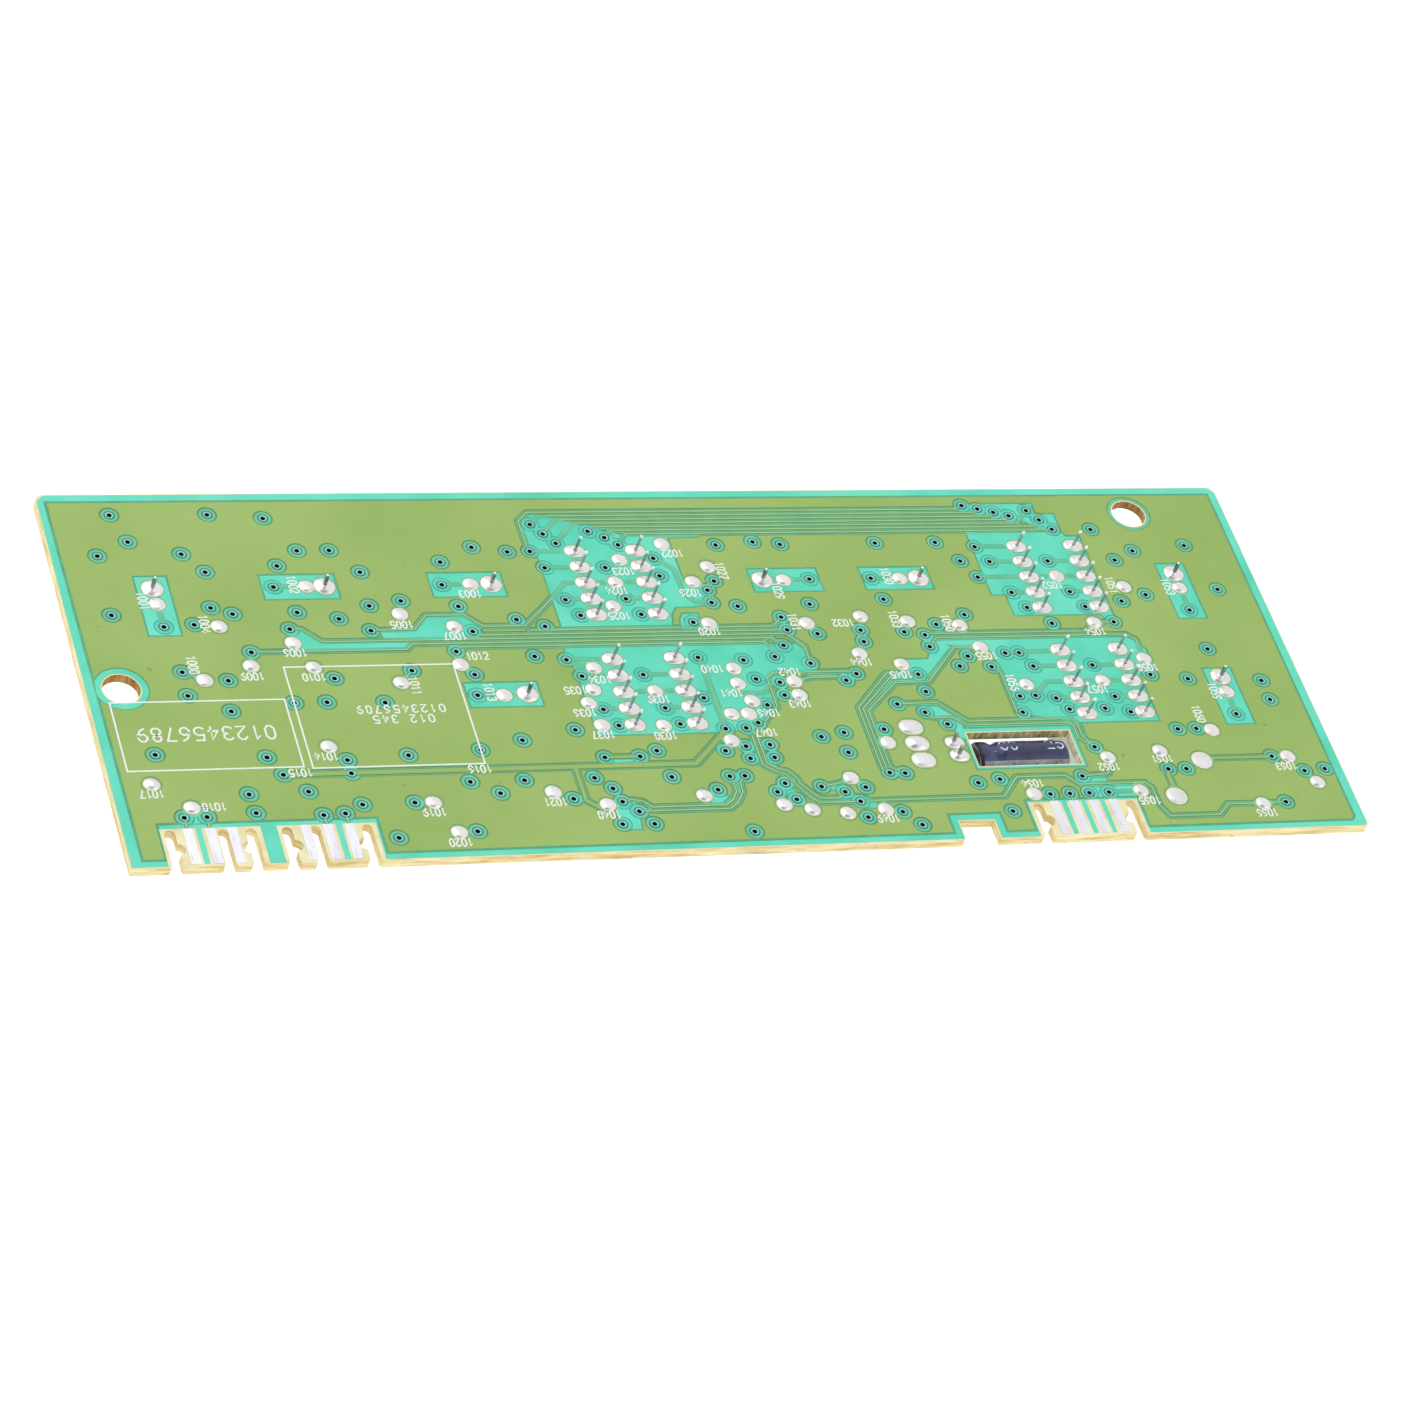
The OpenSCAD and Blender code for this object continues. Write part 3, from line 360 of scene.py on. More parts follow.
def material(name, cols, scale=300.0, rough=(0.4, 0.5), metallic=0.0, bumps=(), stretch=(1, 1, 1), spec=0.5, coat=0.0,
             coat_rough=0.1, detail=4.0, rough_scale=None, spots=None, ior=None, distortion=0.0):
    """Principled material. cols: (position, colour) stops over a noise; bumps: (scale, strength, distance, stretch)"""
    m = bpy.data.materials.new(name)
    m.use_nodes = True
    nt = m.node_tree
    b = next(n for n in nt.nodes if n.type == "BSDF_PRINCIPLED")
    b.inputs["Metallic"].default_value = metallic
    b.inputs["Specular IOR Level"].default_value = spec
    b.inputs["Coat Weight"].default_value = coat
    b.inputs["Coat Roughness"].default_value = coat_rough
    if ior:
        b.inputs["IOR"].default_value = ior
    tc = nt.nodes.new("ShaderNodeTexCoord")

    def noise(sc, st=(1, 1, 1), det=detail, off=(0, 0, 0)):
        mp = nt.nodes.new("ShaderNodeMapping")
        mp.inputs["Scale"].default_value = st
        mp.inputs["Location"].default_value = off
        nz = nt.nodes.new("ShaderNodeTexNoise")
        nz.inputs["Scale"].default_value = sc
        nz.inputs["Detail"].default_value = det
        nz.inputs["Distortion"].default_value = distortion
        nt.links.new(tc.outputs["Object"], mp.inputs["Vector"])
        nt.links.new(mp.outputs["Vector"], nz.inputs["Vector"])
        return nz

    n1 = noise(scale, stretch)
    ramp = nt.nodes.new("ShaderNodeValToRGB")
    el = ramp.color_ramp.elements
    el[0].position, el[0].color = cols[0]
    el[1].position, el[1].color = cols[-1]
    for p, c in cols[1:-1]:
        x = el.new(p)
        x.color = c
    nt.links.new(n1.outputs["Fac"], ramp.inputs["Fac"])
    colour = ramp.outputs["Color"]
    if spots:  # (scale, threshold, width, colour, amount)
        for sc, th, wd, c, amt, st in spots:
            n3 = noise(sc, st, 2.0, (3.1, 1.7, 0.4))
            mr = nt.nodes.new("ShaderNodeMapRange")
            mr.inputs["From Min"].default_value = th
            mr.inputs["From Max"].default_value = th + wd
            mr.inputs["To Max"].default_value = amt
            nt.links.new(n3.outputs["Fac"], mr.inputs["Value"])
            mx = nt.nodes.new("ShaderNodeMix")
            mx.data_type = "RGBA"
            mx.inputs["B"].default_value = c
            nt.links.new(mr.outputs["Result"], mx.inputs["Factor"])
            nt.links.new(colour, mx.inputs["A"])
            colour = mx.outputs["Result"]
    nt.links.new(colour, b.inputs["Base Color"])
    n2 = noise(rough_scale or scale * 0.6, stretch, 3.0, (0.7, 0.2, 0.9))
    mr = nt.nodes.new("ShaderNodeMapRange")
    mr.inputs["From Min"].default_value = 0.3
    mr.inputs["From Max"].default_value = 0.7
    mr.inputs["To Min"].default_value = rough[0]
    mr.inputs["To Max"].default_value = rough[1]
    nt.links.new(n2.outputs["Fac"], mr.inputs["Value"])
    nt.links.new(mr.outputs["Result"], b.inputs["Roughness"])
    last = None
    for sc, strength, dist, st in bumps:
        nb = noise(sc, st, 3.0, (0.3, 0.5, 0.1))
        bp = nt.nodes.new("ShaderNodeBump")
        bp.inputs["Strength"].default_value = strength
        bp.inputs["Distance"].default_value = dist
        nt.links.new(nb.outputs["Fac"], bp.inputs["Height"])
        if last is not None:
            nt.links.new(last.outputs["Normal"], bp.inputs["Normal"])
        last = bp
    if last is not None:
        nt.links.new(last.outputs["Normal"], b.inputs["Normal"])
    return m


def stops(*cs):
    n = len(cs)
    return [(0.3 + 0.4 * i / (n - 1), rgb(*c)) for i, c in enumerate(cs)]


ONE = (1, 1, 1)
smudge = [(45, 0.60, 0.12, rgb(124, 164, 84), 0.14, (1, 2.2, 1)), (900, 0.74, 0.04, rgb(86, 112, 60), 0.4, ONE)]
mask_bumps = [(260, 0.10, 0.00006, (1, 1, 1)), (2200, 0.06, 0.00002, (1, 1, 1))]
M_POUR = material("mask_over_copper", stops((148, 180, 92), (154, 185, 99), (160, 190, 106)), 60, (0.38, 0.52), bumps=mask_bumps, spots=smudge, spec=0.35)
M_BARE = material("mask_over_laminate", stops((82, 212, 178), (98, 222, 192), (112, 228, 200)), 140, (0.36, 0.5), spec=0.35,
    bumps=[(1500, 0.18, 0.00003, (1, 1, 1)), (260, 0.1, 0.00005, (1, 1, 1))])
# darker line at each copper step: partly the mask's changing thickness, partly painted shade of the step
M_EDGE_SHADE = material("mask_at_copper_step_partly_painted_shade", stops((70, 138, 92), (88, 152, 102)), 500, (0.35, 0.5), spec=0.35)
# painted shade: darker mask colour in narrow gaps between copper
M_GAP_SHADE = material("mask_in_narrow_gap_painted_shade", stops((106, 171, 119), (121, 186, 134)), 400, (0.36, 0.5), spec=0.35)
M_PAD_RING = material("mask_at_pad_rim", stops((120, 166, 98), (136, 180, 112)), 500, (0.35, 0.5), spec=0.35)
# darker ring at a via's copper edge: partly the mask's changing thickness, partly painted shade of the step
M_VIA_STEP_SHADE = material("mask_at_via_step_partly_painted_shade", stops((40, 120, 106), (56, 136, 118)), 600, (0.35, 0.5), spec=0.35)
M_TRACK = material("mask_over_track", stops((154, 200, 134), (168, 212, 150)), 300, (0.36, 0.5), spec=0.35)
M_VIA = material("mask_over_via_ring", stops((62, 168, 153), (80, 186, 167)), 600, (0.35, 0.5), spec=0.35)
# painted highlight: pale, glossier ring of mask round each via hole
M_VIA_LIP_HIGHLIGHT = material("mask_at_via_lip_painted_highlight", stops((142, 212, 198), (164, 226, 214)), 900, (0.3, 0.45), spec=0.45)
M_VIA_GAP = material("mask_in_via_gap", stops((102, 190, 147), (118, 204, 161)), 500, (0.36, 0.5), spec=0.35)
M_GHOST = material("mask_over_far_ring", stops((82, 204, 178), (98, 218, 192)), 500, (0.36, 0.5), spec=0.35)
M_GHOST_RING = material("mask_over_far_ring_step", stops((58, 170, 148), (74, 186, 162)), 500, (0.36, 0.5), spec=0.35)
M_TRACK_BARE = material("mask_over_track_in_field", stops((110, 188, 140), (124, 202, 154)), 400, (0.36, 0.5), spec=0.35)
M_HALO = material("mask_beside_track_in_field", stops((84, 186, 148), (98, 200, 164)), 400, (0.36, 0.5), spec=0.35)
# darker band at the pour's and fields' edges: partly the mask's changing thickness, partly painted shade of the step
M_RIM_SHADE = material("mask_at_outer_step_partly_painted_shade", stops((82, 160, 114), (98, 176, 130)), 500, (0.35, 0.5), spec=0.35)
M_LAM = material("laminate_face", stops((228, 216, 164), (240, 232, 186), (246, 240, 202)), 420, (0.5, 0.65), spec=0.35,
    bumps=[(2600, 0.35, 0.00004, (1, 1, 1))])
M_LAM_EDGE = material("laminate_cut_edge", stops((196, 170, 108), (224, 204, 150), (240, 228, 188)), 900, (0.6, 0.8), stretch=(0.25, 0.25, 2.4), spec=0.25,
    bumps=[(2400, 0.7, 0.0001, (0.5, 0.5, 3))], spots=[(1600, 0.62, 0.1, rgb(162, 128, 66), 0.5, (0.4, 0.4, 2))])
M_LAM_BORE = material("laminate_drilled_wall", stops((134, 92, 44), (166, 122, 66), (192, 152, 96)), 1500, (0.6, 0.8), stretch=(1.2, 1.2, 0.35), spec=0.25,
    bumps=[(2400, 0.8, 0.00012, (0.6, 0.6, 3))])
M_LAM_HOLE = material("laminate_routed_wall", stops((134, 110, 60), (196, 178, 124), (238, 230, 190)), 1500, (0.6, 0.8), stretch=(1.2, 1.2, 0.35), spec=0.25,
    bumps=[(2400, 0.8, 0.00012, (0.6, 0.6, 3))])
M_LAM_PALE = material("laminate_routed_wall_lit", stops((206, 190, 148), (238, 228, 194), (250, 246, 228)), 1500, (0.6, 0.8), stretch=(1.2, 1.2, 0.35), spec=0.25,
    bumps=[(2400, 0.8, 0.00012, (0.6, 0.6, 3))])
# painted shade: via walls near black for the dark inside a narrow hole
M_BARREL_SHADE = material("via_barrel_painted_shade", stops((4, 6, 5), (10, 12, 9)), 900, (0.6, 0.8), spec=0.1)
M_FINGER = material("tinned_finger", stops((228, 226, 240), (241, 241, 250), (248, 249, 254)), 420, (0.22, 0.4), metallic=0.45, stretch=(3, 0.5, 1),
    bumps=[(1800, 0.25, 0.00003, (4, 0.35, 1))], spots=[(700, 0.66, 0.06, rgb(180, 176, 186), 0.5, (4, 0.5, 1))])
M_SOLDER = material("solder", stops((234, 231, 230), (242, 240, 240), (248, 248, 249)), 600, (0.18, 0.3), metallic=0.7,
    bumps=[(900, 0.10, 0.00005, ONE), (3200, 0.05, 0.00002, ONE)], spots=[(1200, 0.70, 0.05, rgb(206, 200, 194), 0.3, ONE)])
# cream rim of each joint: flux residue, and a painted reflection of the board on the rim
M_FLUX_AND_REFLECTION = material("flux_rim_and_painted_reflection", stops((222, 224, 192), (238, 240, 214)), 900, (0.25, 0.4), spec=0.5)
M_PIN = material("tinned_lead", stops((150, 152, 154), (176, 178, 178), (198, 200, 200)), 900, (0.16, 0.28), metallic=0.92, stretch=(1, 1, 0.2),
    bumps=[(2600, 0.2, 0.00003, (1, 1, 0.15))])
# near-white lead top: the end cap is the bare cut lead, the band below it a painted highlight
M_PIN_TIP_HIGHLIGHT = material("cut_lead_end_and_painted_highlight", stops((240, 242, 238), (252, 253, 250)), 2400, (0.2, 0.35), metallic=0.25, bumps=[(5000, 0.4, 0.00002, (1, 4, 1))])
M_SPRING_PIN = material("tinned_spring_pin", stops((120, 124, 122), (148, 151, 149), (172, 175, 172)), 900, (0.16, 0.28), metallic=0.92, stretch=(1, 1, 0.2),
    bumps=[(2600, 0.2, 0.00003, (1, 1, 0.15))])
M_INK = material("white_marking_ink", stops((232, 240, 232), (246, 250, 246)), 1500, (0.5, 0.65), spec=0.25, bumps=[(4200, 0.3, 0.00002, ONE)])
M_SPRING = material("spring_wire", stops((150, 150, 150), (186, 186, 184)), 500, (0.2, 0.34), metallic=1.0, bumps=[(2400, 0.15, 0.00002, (1, 1, 0.3))])
M_SLEEVE = material("shrink_sleeve", stops((32, 37, 70), (42, 48, 88), (53, 59, 105)), 240, (0.2, 0.32), spec=0.5, coat=0.25, coat_rough=0.12,
    bumps=[(420, 0.35, 0.0002, (0.5, 1, 1)), (3000, 0.08, 0.00002, ONE)])
M_SLEEVE_DARK = material("shrink_sleeve_shade", stops((14, 15, 26), (24, 26, 42)), 300, (0.25, 0.4), spec=0.5, bumps=[(420, 0.3, 0.0002, ONE)])
M_PRINT = material("sleeve_print", stops((198, 204, 232), (222, 226, 244)), 1200, (0.3, 0.45), spec=0.4)
M_STRIPE = material("sleeve_stripe", stops((124, 125, 140), (145, 146, 160), (165, 166, 180)), 900, (0.3, 0.45), spec=0.4, spots=[(1800, 0.58, 0.08, rgb(84, 88, 104), 0.6, ONE)])
M_RUBBER = material("seal_rubber", stops((16, 16, 17), (30, 30, 31)), 600, (0.6, 0.75), spec=0.3, bumps=[(2600, 0.4, 0.00005, ONE)])
M_CAN = material("can_aluminium", stops((196, 198, 202), (222, 224, 227)), 400, (0.3, 0.45), metallic=1.0, bumps=[(1800, 0.15, 0.00003, (1, 4, 4))])
M_EPOXY = material("moulded_package", stops((22, 22, 24), (34, 34, 36), (44, 44, 46)), 900, (0.5, 0.68), spec=0.4, bumps=[(3200, 0.6, 0.00004, ONE)])
M_TIN = material("tinned_terminal", stops((176, 176, 178), (206, 206, 206)), 800, (0.25, 0.42), metallic=1.0, bumps=[(2600, 0.2, 0.00003, ONE)])
M_RESIST = material("resistor_coat", stops((18, 18, 20), (30, 30, 33)), 900, (0.25, 0.4), spec=0.5, bumps=[(2000, 0.2, 0.00003, ONE)])
M_CERAMIC = material("capacitor_ceramic", stops((150, 118, 84), (176, 144, 108), (188, 158, 122)), 900, (0.45, 0.6), spec=0.35, bumps=[(3000, 0.3, 0.00003, ONE)])
M_DIFFUSER = material("display_diffuser", stops((232, 232, 224), (244, 244, 238)), 900, (0.35, 0.5), spec=0.45, bumps=[(3000, 0.15, 0.00002, ONE)])
M_TINPAD = material("tinned_pad", stops((206, 202, 204), (230, 227, 228)), 600, (0.25, 0.4), metallic=0.9, bumps=[(1500, 0.2, 0.00004, ONE)])


def housing_material():
    """grey plastic with a black printed face where the digit is"""
    m = material("display_plastic", stops((186, 187, 184), (194, 195, 192), (202, 203, 200)), 500, (0.42, 0.56), spec=0.45, bumps=[(3000, 0.3, 0.00003, ONE)])
    nt = m.node_tree
    b = next(n for n in nt.nodes if n.type == "BSDF_PRINCIPLED")
    base = b.inputs["Base Color"].links[0].from_socket
    tc = next(n for n in nt.nodes if n.type == "TEX_COORD")
    sep = nt.nodes.new("ShaderNodeSeparateXYZ")
    nt.links.new(tc.outputs["Object"], sep.inputs["Vector"])
    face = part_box("display_1_housing")[0].z
    mr = nt.nodes.new("ShaderNodeMapRange")
    mr.inputs["From Min"].default_value = face + 0.00002
    mr.inputs["From Max"].default_value = face + 0.00006
    mr.inputs["To Min"].default_value = 1.0
    mr.inputs["To Max"].default_value = 0.0
    nt.links.new(sep.outputs["Z"], mr.inputs["Value"])
    nz = nt.nodes.new("ShaderNodeTexNoise")
    nz.inputs["Scale"].default_value = 1200
    nt.links.new(tc.outputs["Object"], nz.inputs["Vector"])
    rp = nt.nodes.new("ShaderNodeValToRGB")
    rp.color_ramp.elements[0].color = rgb(20, 20, 22)
    rp.color_ramp.elements[1].color = rgb(34, 34, 37)
    nt.links.new(nz.outputs["Fac"], rp.inputs["Fac"])
    mx = nt.nodes.new("ShaderNodeMix")
    mx.data_type = "RGBA"
    nt.links.new(mr.outputs["Result"], mx.inputs["Factor"])
    nt.links.new(base, mx.inputs["A"])
    nt.links.new(rp.outputs["Color"], mx.inputs["B"])
    nt.links.new(mx.outputs["Result"], b.inputs["Base Color"])
    return m


M_HOUSING = housing_material()
for name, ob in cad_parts.items():
    m = {"left_edge_contacts": M_FINGER, "right_edge_contacts": M_FINGER, "capacitor_can": M_CAN, "capacitor_seal": M_RUBBER,
         "capacitor_leads": M_PIN, "chip_resistors": M_RESIST, "chip_capacitors": M_CERAMIC, "chip_end_terminals": M_TIN}.get(name)
    if m is None:
        m = (M_HOUSING if name.endswith("_housing") else M_DIFFUSER if name.endswith("_segments") else M_PIN if name.startswith("display_") and name.endswith("_leads") and "driver" not in name
             else M_EPOXY if "_bod" in name else M_TIN if name.endswith("_leads") else M_SPRING if name.startswith("touch_spring") else M_SOLDER)
    ob.data.materials.clear()
    ob.data.materials.append(m)

# ------------------------------------------------------------------ board outline from the frame
HOLE_R = 0.3


def plane_loops(node, z_mm):
    """closed outlines of the node's flat face at that height"""
    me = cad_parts[node].data
    me.calc_loop_triangles()
    keys, tris = {}, []
    for t in me.loop_triangles:
        co = [me.vertices[i].co for i in t.vertices]
        if all(abs(c.z / MM - z_mm) < 1e-3 for c in co):
            ids = []
            for c in co:
                k = (round(c.x / MM - OX, 3), round(c.y / MM - OY, 3))
                ids.append(keys.setdefault(k, len(keys)))
            if len(set(ids)) == 3:
                tris.append(ids)
    pts = list(keys)
    T = ccw(np.array(pts), np.array(tris))
    nxt = dict(border(T))
    loops = []
    while nxt:
        a = next(iter(nxt))
        loop = [a]
        b = nxt.pop(a)
        while b != a:
            loop.append(b)
            b = nxt.pop(b)
        loops.append([pts[i] for i in loop])
    return loops


LOOPS = plane_loops("circuit_board", ZT)
LOOPS.sort(key=lambda l: -abs(sum(l[i - 1][0] * l[i][1] - l[i][0] * l[i - 1][1] for i in range(len(l)))))
OUTER, INNER = LOOPS[0], LOOPS[1:]


def laminate():
    rings = [OUTER] + INNER + [circle_pts(x, y, HOLE_R, 14) for x, y in VIAS]
    P, T = triangulate(rings)
    T = wind(P, T)
    C = P[T].mean(1)
    keep = (d_poly(C, OUTER) < 0) & (d_polys(C, INNER) > 0) & (d_circles(C, [(x, y, HOLE_R * 0.99) for x, y in VIAS]) > 0)
    T = T[keep]
    n = len(P)
    V = [(x, y, ZT) for x, y in P] + [(x, y, ZB) for x, y in P]
    F = [tuple(t) for t in T] + [(a + n, c + n, b + n) for a, b, c in T]
    idx = [0] * len(T) + [0] * len(T)
    cut = [(a, b) for a, b in border(T)]
    mid = np.array([(P[a] + P[b]) / 2 for a, b in cut])
    via = d_circles(mid, [(x, y, HOLE_R + 0.02) for x, y in VIAS]) < 0
    hole = d_polys(mid, [offset_poly(l, 0.02 if sum(l[i - 1][0] * l[i][1] - l[i][0] * l[i - 1][1] for i in range(len(l))) > 0 else 0.02) for l in INNER]) < 0
    bore = d_circles(mid, [(x, y, r + 0.05) for x, y, r, c in MOUNTS]) < 0
    # via walls (material 3) take the near-black painted shade
    for (a, b), v, h, m in zip(cut, via, hole, bore):
        F.append((b, a, a + n, b + n))
        idx.append(3 if v else 4 if m else (5 if abs(P[a][0] - P[b][0]) < 0.01 and P[a][0] > WINDOW[2] - 0.3 else 2) if h else 1)
    used = sorted({i for f in F for i in f})
    back = {o: k for k, o in enumerate(used)}
    F = [tuple(back[i] for i in f) for f in F]
    V = [V[i] for i in used]
    ob = new_mesh("board_laminate", V, F, [M_LAM, M_LAM_EDGE, M_LAM_HOLE, M_BARREL_SHADE, M_LAM_BORE, M_LAM_PALE], idx)
    done(ob, "laminate", "circuit_board")


laminate()

# ------------------------------------------------------------------ mask with the copper under it
BAND = 0.06
NARROW = 0.42      # gaps narrower than this get a darker colour, painted shade
RING, LIP, GAP_R, PAD_GAP = 0.60, 0.45, 1.10, 0.10
RING_IN, RING_OUT, GAP_IN, GAP_OUT = 0.53, 0.68, 1.0, 1.19
FIELD_RIM, OUTER_RIM = 0.12, 0.17


def mask_sheet(name, z0, up, tracks, circles_own, caps_own, fields, pour, mask, keepouts, openings_c, openings_s, openings_p, vias, ghost=True, thick=1.0):
    """The printed mask on one side. Copper under it lifts it; z0 is the laminate's face and up is +1 or -1."""
    segs = [(a[0], a[1], b[0], b[1], w / 2) for w, p in tracks for a, b in zip(p, p[1:])]
    own_c = [(x, y, RING) for x, y in vias] + circles_own
    own_s = segs + caps_own
    clr_c = [(x, y, GAP_R) for x, y in vias] + [(x, y, r + PAD_GAP) for x, y, r in circles_own] + keepouts
    clr_s = [(a, b, c, d, h + (0.3 if h < 0.24 else 0.24)) for a, b, c, d, h in segs] + [(a, b, c, d, h + PAD_GAP) for a, b, c, d, h in caps_own]
    rings = [mask]
    for x, y in vias:
        rings += [circle_pts(x, y, HOLE_R + 0.02, 14), circle_pts(x, y, LIP, 18)]
        rings += [circle_pts(x, y, RING_IN, 18), circle_pts(x, y, RING_OUT, 20), circle_pts(x, y, GAP_IN, 24), circle_pts(x, y, GAP_OUT, 24)]
    for x, y, r in circles_own:
        rings += [circle_pts(x, y, r + s * BAND, 28) for s in (-1, 1)] + [circle_pts(x, y, r + PAD_GAP + s * BAND, 28) for s in (-1, 1)]
    for x, y, r in keepouts:
        rings += [circle_pts(x, y, r + s * BAND, 64) for s in (-1, 1)]
    for a, b, c, d, h in own_s:
        g = 0.3 if h < 0.24 else 0.24 if h < 0.9 else PAD_GAP
        rings += [capsule_pts(a, b, c, d, h + s * BAND, 5 if h < 0.9 else 12) for s in (-1, 1)] + [capsule_pts(a, b, c, d, h + g + s * BAND, 6 if h < 0.9 else 12) for s in (-1, 1)]
    for f in fields:
        rings += [offset_poly(f, s) for s in (-FIELD_RIM, -BAND, BAND, FIELD_RIM)]
    rings += [offset_poly(pour, s) for s in (-OUTER_RIM, -BAND, BAND, OUTER_RIM)]
    rings += [circle_pts(x, y, r, 28) for x, y, r in openings_c] + [capsule_pts(*s, 12) for s in openings_s] + openings_p
    P, T = triangulate(rings)
    T = wind(P, T)

    def in_mask(C):
        d = d_poly(C, mask)
        d = np.maximum(d, -d_circles(C, [(x, y, HOLE_R + 0.018) for x, y in vias]))
        d = np.maximum(d, -d_circles(C, [(x, y, r - 0.005) for x, y, r in openings_c]))
        if openings_s:
            d = np.maximum(d, -d_capsules(C, [(a, b, c, e, h - 0.005) for a, b, c, e, h in openings_s]))
        if openings_p:
            d = np.maximum(d, -d_polys(C, openings_p))
        return d

    C = P[T].mean(1)
    T = T[in_mask(C) < 0]
    C = P[T].mean(1)

    def fields_at(Q):
        own = np.minimum(d_circles(Q, own_c), d_capsules(Q, own_s))
        clr = np.minimum(np.minimum(d_circles(Q, clr_c), d_capsules(Q, clr_s)), d_polys(Q, fields) if fields else 1e9)
        return own, np.maximum(-clr, d_poly(Q, pour))

    own, area = fields_at(C)
    cu = np.minimum(own, area)
    dv = d_circles(C, [(x, y, 0.0) for x, y in vias])
    e = 0.02
    steps = [np.array([e, 0.0]), np.array([0.0, e])]
    grad = []
    for s in steps:
        o1, a1 = fields_at(C + s)
        o2, a2 = fields_at(C - s)
        grad.append((np.minimum(o1, a1) - np.minimum(o2, a2)) / (2 * e))
    G = np.stack(grad, 1)
    G /= np.maximum(np.hypot(G[:, 0], G[:, 1]), 1e-6)[:, None]
    o1, a1 = fields_at(C + G * np.maximum(NARROW - cu, 0)[:, None])
    narrow = np.minimum(o1, a1) < 0.03
    idx = np.zeros(len(T), int)                       # 0 pour
    idx[cu > 0] = 1                                   # bare laminate below
    idx[(cu > 0) & narrow] = 8                        # narrow gap between copper, painted shade
    idx[(own < 0)] = 3                                # track
    wide = [s for s in segs if s[4] > 0.24]
    if wide:
        idx[d_capsules(C, wide) < 0] = 0
    idx[(own < 0) & (dv < RING)] = 4                  # via ring
    VC = np.array(vias)
    near = np.concatenate([np.argmin(((c[:, None, :] - VC[None]) ** 2).sum(2), 1) for c in np.array_split(C, 60)])
    R = C - VC[near]
    R /= np.maximum(np.hypot(R[:, 0], R[:, 1]), 1e-6)[:, None]
    o2, a2 = fields_at(VC[near] + R * (GAP_OUT + 0.1))
    idx[(cu > 0) & (dv < GAP_R) & ((a2 < 0) | narrow)] = 7   # gap round a via
    idx[np.abs(cu) < BAND] = 2                        # step of the copper: darker line, partly the mask's changing thickness, partly painted shade
    fb = d_polys(C, fields) if fields else np.full(len(C), 1e9)
    dp0 = d_poly(C, pour)
    free = own > 0.1
    # rim of fields and of the pour: darker band, partly the mask's changing thickness, partly painted shade
    idx[free & (np.abs(fb) < FIELD_RIM) & (np.abs(area) < FIELD_RIM + 0.01)] = 13
    idx[free & (np.abs(dp0) < OUTER_RIM) & (area < OUTER_RIM + 0.01)] = 13
    deep = fb < -BAND
    thin = d_capsules(C, [s for s in segs if s[4] <= 0.24]) if segs else np.full(len(C), 1e9)
    broad = d_capsules(C, wide) if wide else np.full(len(C), 1e9)
    idx[deep & (own > -BAND) & (np.minimum(thin, broad) < 0.24) & (np.minimum(thin, broad) > -BAND) & (area > 0.13)] = 12
    idx[deep & (own < -BAND) & (np.minimum(thin, broad) < -BAND) & (dv > RING)] = 11
    out = (dv > GAP_IN) & (dv < GAP_OUT) & (own > 0)
    idx[out & (a2 < 0)] = 2
    if ghost:
        idx[(dv > RING_OUT) & (dv < GAP_OUT) & (a2 > 0) & (cu > BAND) & ~narrow & (idx == 1)] = 6
    if ghost:
        idx[(dv > GAP_IN) & (dv < GAP_OUT) & (idx == 6)] = 14
    idx[(dv > RING_IN) & (dv < RING_OUT) & (own > -BAND - 0.02)] = 9   # step of a via ring: darker ring, partly the mask's changing thickness, partly painted shade
    dp = np.minimum(d_circles(C, circles_own), d_capsules(C, caps_own)) if caps_own else d_circles(C, circles_own)
    ring = (dp < PAD_GAP + BAND) & ((cu > -BAND) | (dp < 0)) & (idx != 3)
    idx[ring & ((area < 0.12) | (dp < 0))] = 10
    idx[ring & ~((area < 0.12) | (dp < 0))] = 1
    idx[(dv < LIP)] = 5                               # pale ring round the hole, painted highlight
    for x, y, r in keepouts:                          # copper close round a small mount
        if r < 3.0:
            idx[(idx == 1) & (np.hypot(C[:, 0] - x, C[:, 1] - y) < r)] = 7
    used = np.unique(T)
    remap = -np.ones(len(P), int)
    remap[used] = np.arange(len(used))
    P, T = P[used], remap[T]
    o, a = fields_at(P)
    cu = np.minimum(o, a)
    t = np.clip((BAND - cu) / (2 * BAND), 0, 1)
    t = t * t * (3 - 2 * t)
    z = 0.018 + 0.034 * t
    dvp = d_circles(P, [(x, y, 0.0) for x, y in vias])
    z = np.where(dvp < HOLE_R + 0.05, 0.03, z) * thick
    V = [(x, y, z0 + up * h) for (x, y), h in zip(P, z)]
    edge = border(T)
    # underside of the sheet, cut along its border only
    be = {}
    for i, j in edge:
        be.setdefault(i, len(be))
        be.setdefault(j, len(be))
    bpts = [Vector(P[i]) for i in be]
    v2, _, f2, _, _, _ = delaunay_2d_cdt(bpts, [(be[i], be[j]) for i, j in edge], [], 0, 1e-6, False)
    P2 = np.array([(p.x, p.y) for p in v2])
    T2 = wind(P2, np.array([list(q) for q in f2 if len(q) == 3], int))
    same = len(P2) == len(bpts)
    d2 = in_mask(P2[T2].mean(1))
    if same:
